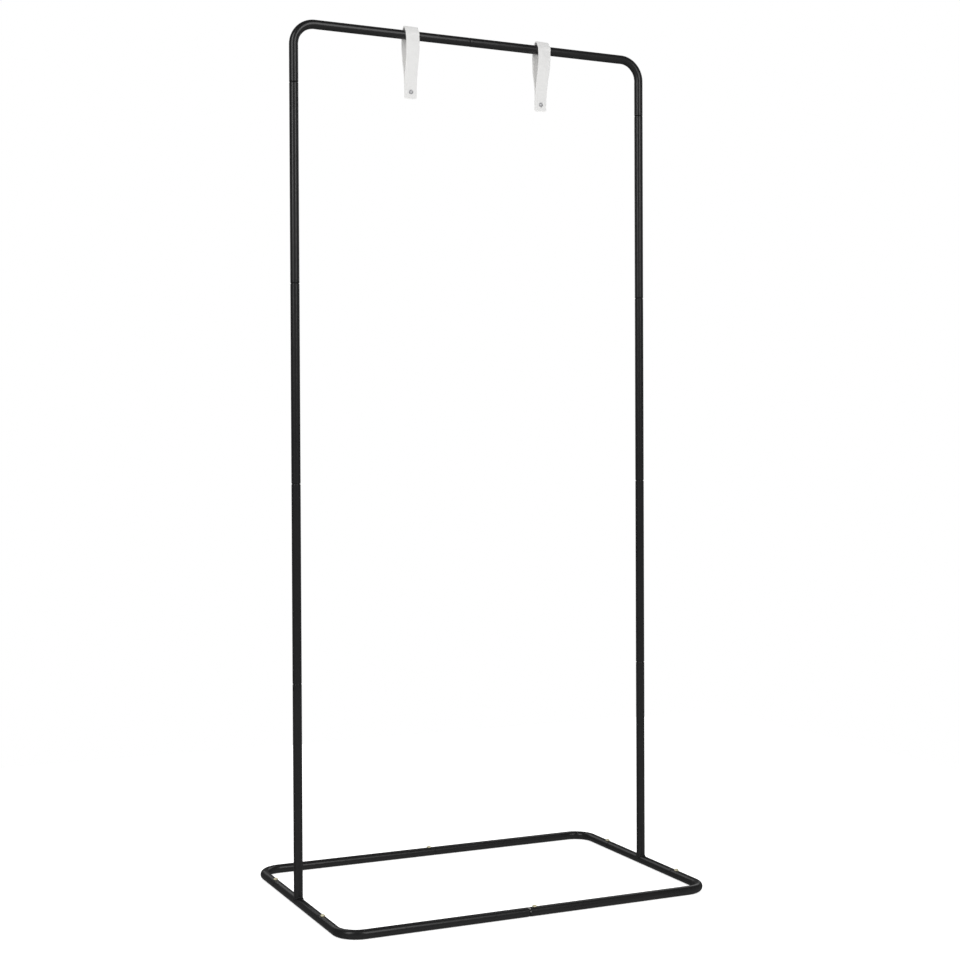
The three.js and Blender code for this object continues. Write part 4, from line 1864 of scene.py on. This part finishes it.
    def post(self, name: str) -> bpy.types.Object:
        """The domed cap in front and the tube behind it that the screw goes into.

        Args:
            name: The piece's name.

        Returns:
            The post.
        """
        radius, height, end = self.cap_radius, self.cap_height, -2 * self.seat
        rim, shoulder = height * 0.38, height * 0.38 * 1.2
        foot = radius - self.cap_foot
        lathe = Lathe(sides=48)
        lathe.point(0.0, 0.0).point(0.0, self.bore_radius).point(end, self.bore_radius)
        lathe.point(end, self.post_radius - self.post_bevel)
        lathe.point(self.post_bevel + end, self.post_radius)
        lathe.point(0.0, self.post_radius).point(0.0, foot)
        lathe.arc((rim, foot), (rim, self.cap_foot), 180, 90, 4)
        lathe.arc((rim, radius - self.cap_rim), (rim * 0.5, self.cap_rim), 90, 0, 3)
        lathe.point(rim * 1.35, radius - self.cap_groove)
        lathe.arc((shoulder, 0.0), (height - shoulder, radius - self.dome_inset), 84, 0, 8)
        cap = crease(lathe.turn(name))
        return stand(cap, self.rivet - Vector((0, self.seat, 0)), Vector((0, -1, 0)))

    def screw(self, name: str) -> bpy.types.Object:
        """The slotted screw that goes into the post from behind.

        Args:
            name: The piece's name.

        Returns:
            The screw.
        """
        radius, height = self.cap_radius, self.cap_height
        rim, foot = height * 0.3, radius - self.cap_foot
        lathe = Lathe(sides=48, thread=self.thread)
        lathe.shank(-self.seat * 1.6, 0.0, self.bore_radius - self.shank_gap, self.runout)
        lathe.point(0.0, foot)
        lathe.arc((rim, foot), (rim, self.cap_foot), 180, 90, 4)
        lathe.arc((rim, 0.0), (height * 0.7, radius), 90, 0, 10)
        outline = bar(radius * 3, self.slot_width)
        slot = prism("slot", outline, height - self.slot_depth, height + OVERSHOOT)
        head = crease(clean(combine_solids(lathe.turn(name), slot, "DIFFERENCE")))
        return stand(head, self.rivet + Vector((0, self.seat, 0)), Vector((0, 1, 0)))


def fair(points: Sequence[tuple[float, float]], step: float) -> np.ndarray:
    """A smooth line through points in a plane.

    Args:
        points: The points.
        step: About how far apart the line's points are.

    Returns:
        Evenly spaced points on a natural cubic spline.
    """
    knots = np.array(points)
    rise = np.diff(knots, axis=0)
    run = np.concatenate([[0.0], np.cumsum(np.sqrt(np.linalg.norm(rise, axis=1)))])
    gap = np.diff(run)
    count = len(knots)
    matrix, right = np.eye(count), np.zeros((count, 2))
    for i in range(1, count - 1):
        matrix[i, i - 1: i + 2] = gap[i - 1], 2 * (gap[i - 1] + gap[i]), gap[i]
        right[i] = 6 * (rise[i] / gap[i] - rise[i - 1] / gap[i - 1])
    bend = np.linalg.solve(matrix, right)
    dense = []
    for i in range(count - 1):
        for t in np.arange(FAIR_STEPS) / FAIR_STEPS * gap[i]:
            rest = gap[i] - t
            dense.append(
                (bend[i] * rest ** 3 + bend[i + 1] * t ** 3) / (6 * gap[i])
                + (knots[i] / gap[i] - bend[i] * gap[i] / 6) * rest
                + (knots[i + 1] / gap[i] - bend[i + 1] * gap[i] / 6) * t
            )
    dense = np.array([*dense, knots[-1]])
    along = np.concatenate([[0.0], np.cumsum(np.linalg.norm(np.diff(dense, axis=0), axis=1))])
    even = np.linspace(0.0, along[-1], round(along[-1] / step) + 1)
    return np.stack([np.interp(even, along, dense[:, k]) for k in (0, 1)], axis=1)


# ------------------------------------------------------------------ studio
@dataclass(frozen=True)
class SoftBox:
    """A large soft light that hangs round the rack and faces it."""

    name: str
    azimuth: float
    distance: float
    height: float
    size: tuple[float, float]
    radiance: float

    def hang(self, target: Vector) -> None:
        """Makes the light.

        Args:
            target: The point that it faces.
        """
        lamp = bpy.data.lights.new(self.name, "AREA")
        lamp.shape, lamp.size, lamp.size_y = "RECTANGLE", *self.size
        lamp.energy = self.radiance * math.pi * self.size[0] * self.size[1]
        turn = math.radians(self.azimuth)
        outward = Vector((math.sin(turn), -math.cos(turn), 0.0))
        light = place(self.name, lamp)
        light.location = outward * self.distance + Vector((0, 0, self.height))
        light.rotation_euler = (target - light.location).to_track_quat("-Z", "Y").to_euler()
        light.visible_camera = False


@dataclass
class Studio:
    """A pale floor, soft light and the camera."""

    floor_size: float = 3.6
    fill: float = 0.55
    room_front: tuple[tuple[float, float], ...] = (
        (-1.0, 0.22),
        (-0.17, 0.32),
        (-0.09, 0.13),
        (-0.02, 0.10),
        (0.07, 0.20),
        (0.30, 0.24),
        (0.42, 0.07),
    )
    room_behind: float = 0.10
    lens: float = 60.046
    eye: Vector = field(default_factory=lambda: Vector((-1.440178, -3.154928, 0.918709)))
    yaw: float = 24.672
    pitch: float = -0.694
    roll: float = -0.246
    clip: tuple[float, float] = (0.05, 50.0)
    target_height: float = 0.95
    boxes: tuple[SoftBox, ...] = (
        SoftBox("left_softbox", -62.0, 2.8, 2.6, (1.1, 2.2), 3.2),
        SoftBox("right_softbox", 12.0, 2.8, 2.6, (1.1, 2.2), 3.2),
        SoftBox("rear_left_softbox", -173.0, 2.8, 2.5, (1.4, 2.6), 0.9),
        SoftBox("rear_right_softbox", 126.0, 2.8, 2.5, (1.2, 2.6), 1.2),
    )

    def build(self) -> None:
        """Makes the floor, the room's tone, the lights and the camera."""
        scene = bpy.context.scene
        scene.view_settings.view_transform = "Standard"
        half = self.floor_size / 2
        corners = [(-half, -half, 0), (half, -half, 0), (half, half, 0), (-half, half, 0)]
        mesh = bpy.data.meshes.new("studio_floor")
        mesh.from_pydata(corners, [], [(0, 1, 2, 3)])
        mesh.materials.append(PALE_FLOOR.material())
        floor = place("studio_floor", mesh)
        floor.visible_glossy = False
        scene.world = bpy.data.worlds.new("studio_room")
        scene.world.use_nodes = True
        self.tone_room(Graph(scene.world.node_tree), scene.world.node_tree.nodes["Background"])
        for box in self.boxes:
            box.hang(Vector((0.0, 0.0, self.target_height)))
        self.set_camera()

    def tone_room(self, room: Graph, background: bpy.types.ShaderNode) -> None:
        """Makes the room white to look at, grey in reflections and soft as a fill light.

        Args:
            room: The world's graph.
            background: Its Background shader.
        """
        seen, mirrored = room.add("ShaderNodeLightPath").outs("Is Camera Ray", "Is Glossy Ray")
        way = room.add("ShaderNodeTexCoord", output="Generated")
        depth, height = room.add("ShaderNodeSeparateXYZ", inputs={"Vector": way}).outs("Y", "Z")
        stops = tuple(((level + 1.0) / 2, (tone,) * 3) for level, tone in self.room_front)
        front = room.add("ShaderNodeValToRGB", {"stops": stops}, {"Fac": (height + 1.0) * 0.5})
        grey = room.blend(depth.ramp(-0.5, 0.4), front, (self.room_behind,) * 3)
        lit = room.blend(mirrored, (self.fill,) * 3, grey)
        room.feed(background.inputs["Color"], room.blend(seen, lit, WHITE))

    def set_camera(self) -> None:
        """Makes the camera."""
        yaw, pitch, roll = (math.radians(a) for a in (self.yaw, self.pitch, self.roll))
        level = Vector((math.cos(yaw), -math.sin(yaw), 0.0))
        onward = Vector((math.sin(yaw), math.cos(yaw), 0.0))
        ahead = onward * math.cos(pitch) + Vector((0.0, 0.0, math.sin(pitch)))
        above = level.cross(ahead)
        right = level * math.cos(roll) + above * math.sin(roll)
        up = above * math.cos(roll) - level * math.sin(roll)
        data = bpy.data.cameras.new("camera")
        data.lens = self.lens
        data.clip_start, data.clip_end = self.clip
        camera = place("camera", data)
        axes = Matrix((right, up, -ahead)).transposed().to_4x4()
        camera.matrix_world = Matrix.Translation(self.eye) @ axes
        bpy.context.scene.camera = camera


def main() -> None:
    """Builds the studio and the rack, piece by piece."""
    logging.basicConfig(level=logging.INFO, format="%(message)s")
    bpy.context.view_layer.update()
    Studio().build()
    low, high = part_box("left_upright_tube_1")
    stock = TubeStock(radius=(high.x - low.x) / 2)
    rail = Rail(stock)
    assemblies: list[SubAssembly] = [
        BaseLoop(stock),
        BaseScrews(crest=2 * stock.radius),
        Upright(stock, "left"),
        Upright(stock, "right"),
        rail,
    ]
    for assembly in assemblies:
        assembly.build()
        assembly.dress()
    left, right = (made.piece for made in rail.made)
    radius = stock.radius
    loops = [
        LeatherLoop("left", left, radius, Body.LEFT_LOOP, lean=0.7 * MM, slip=0.0, twist=1.5),
        LeatherLoop("right", right, radius, Body.RIGHT_LOOP, lean=4.0 * MM, slip=0.8 * MM, twist=7.0),
    ]
    for loop in loops:
        loop.build()
        loop.dress()


if __name__ == "__main__":
    main()
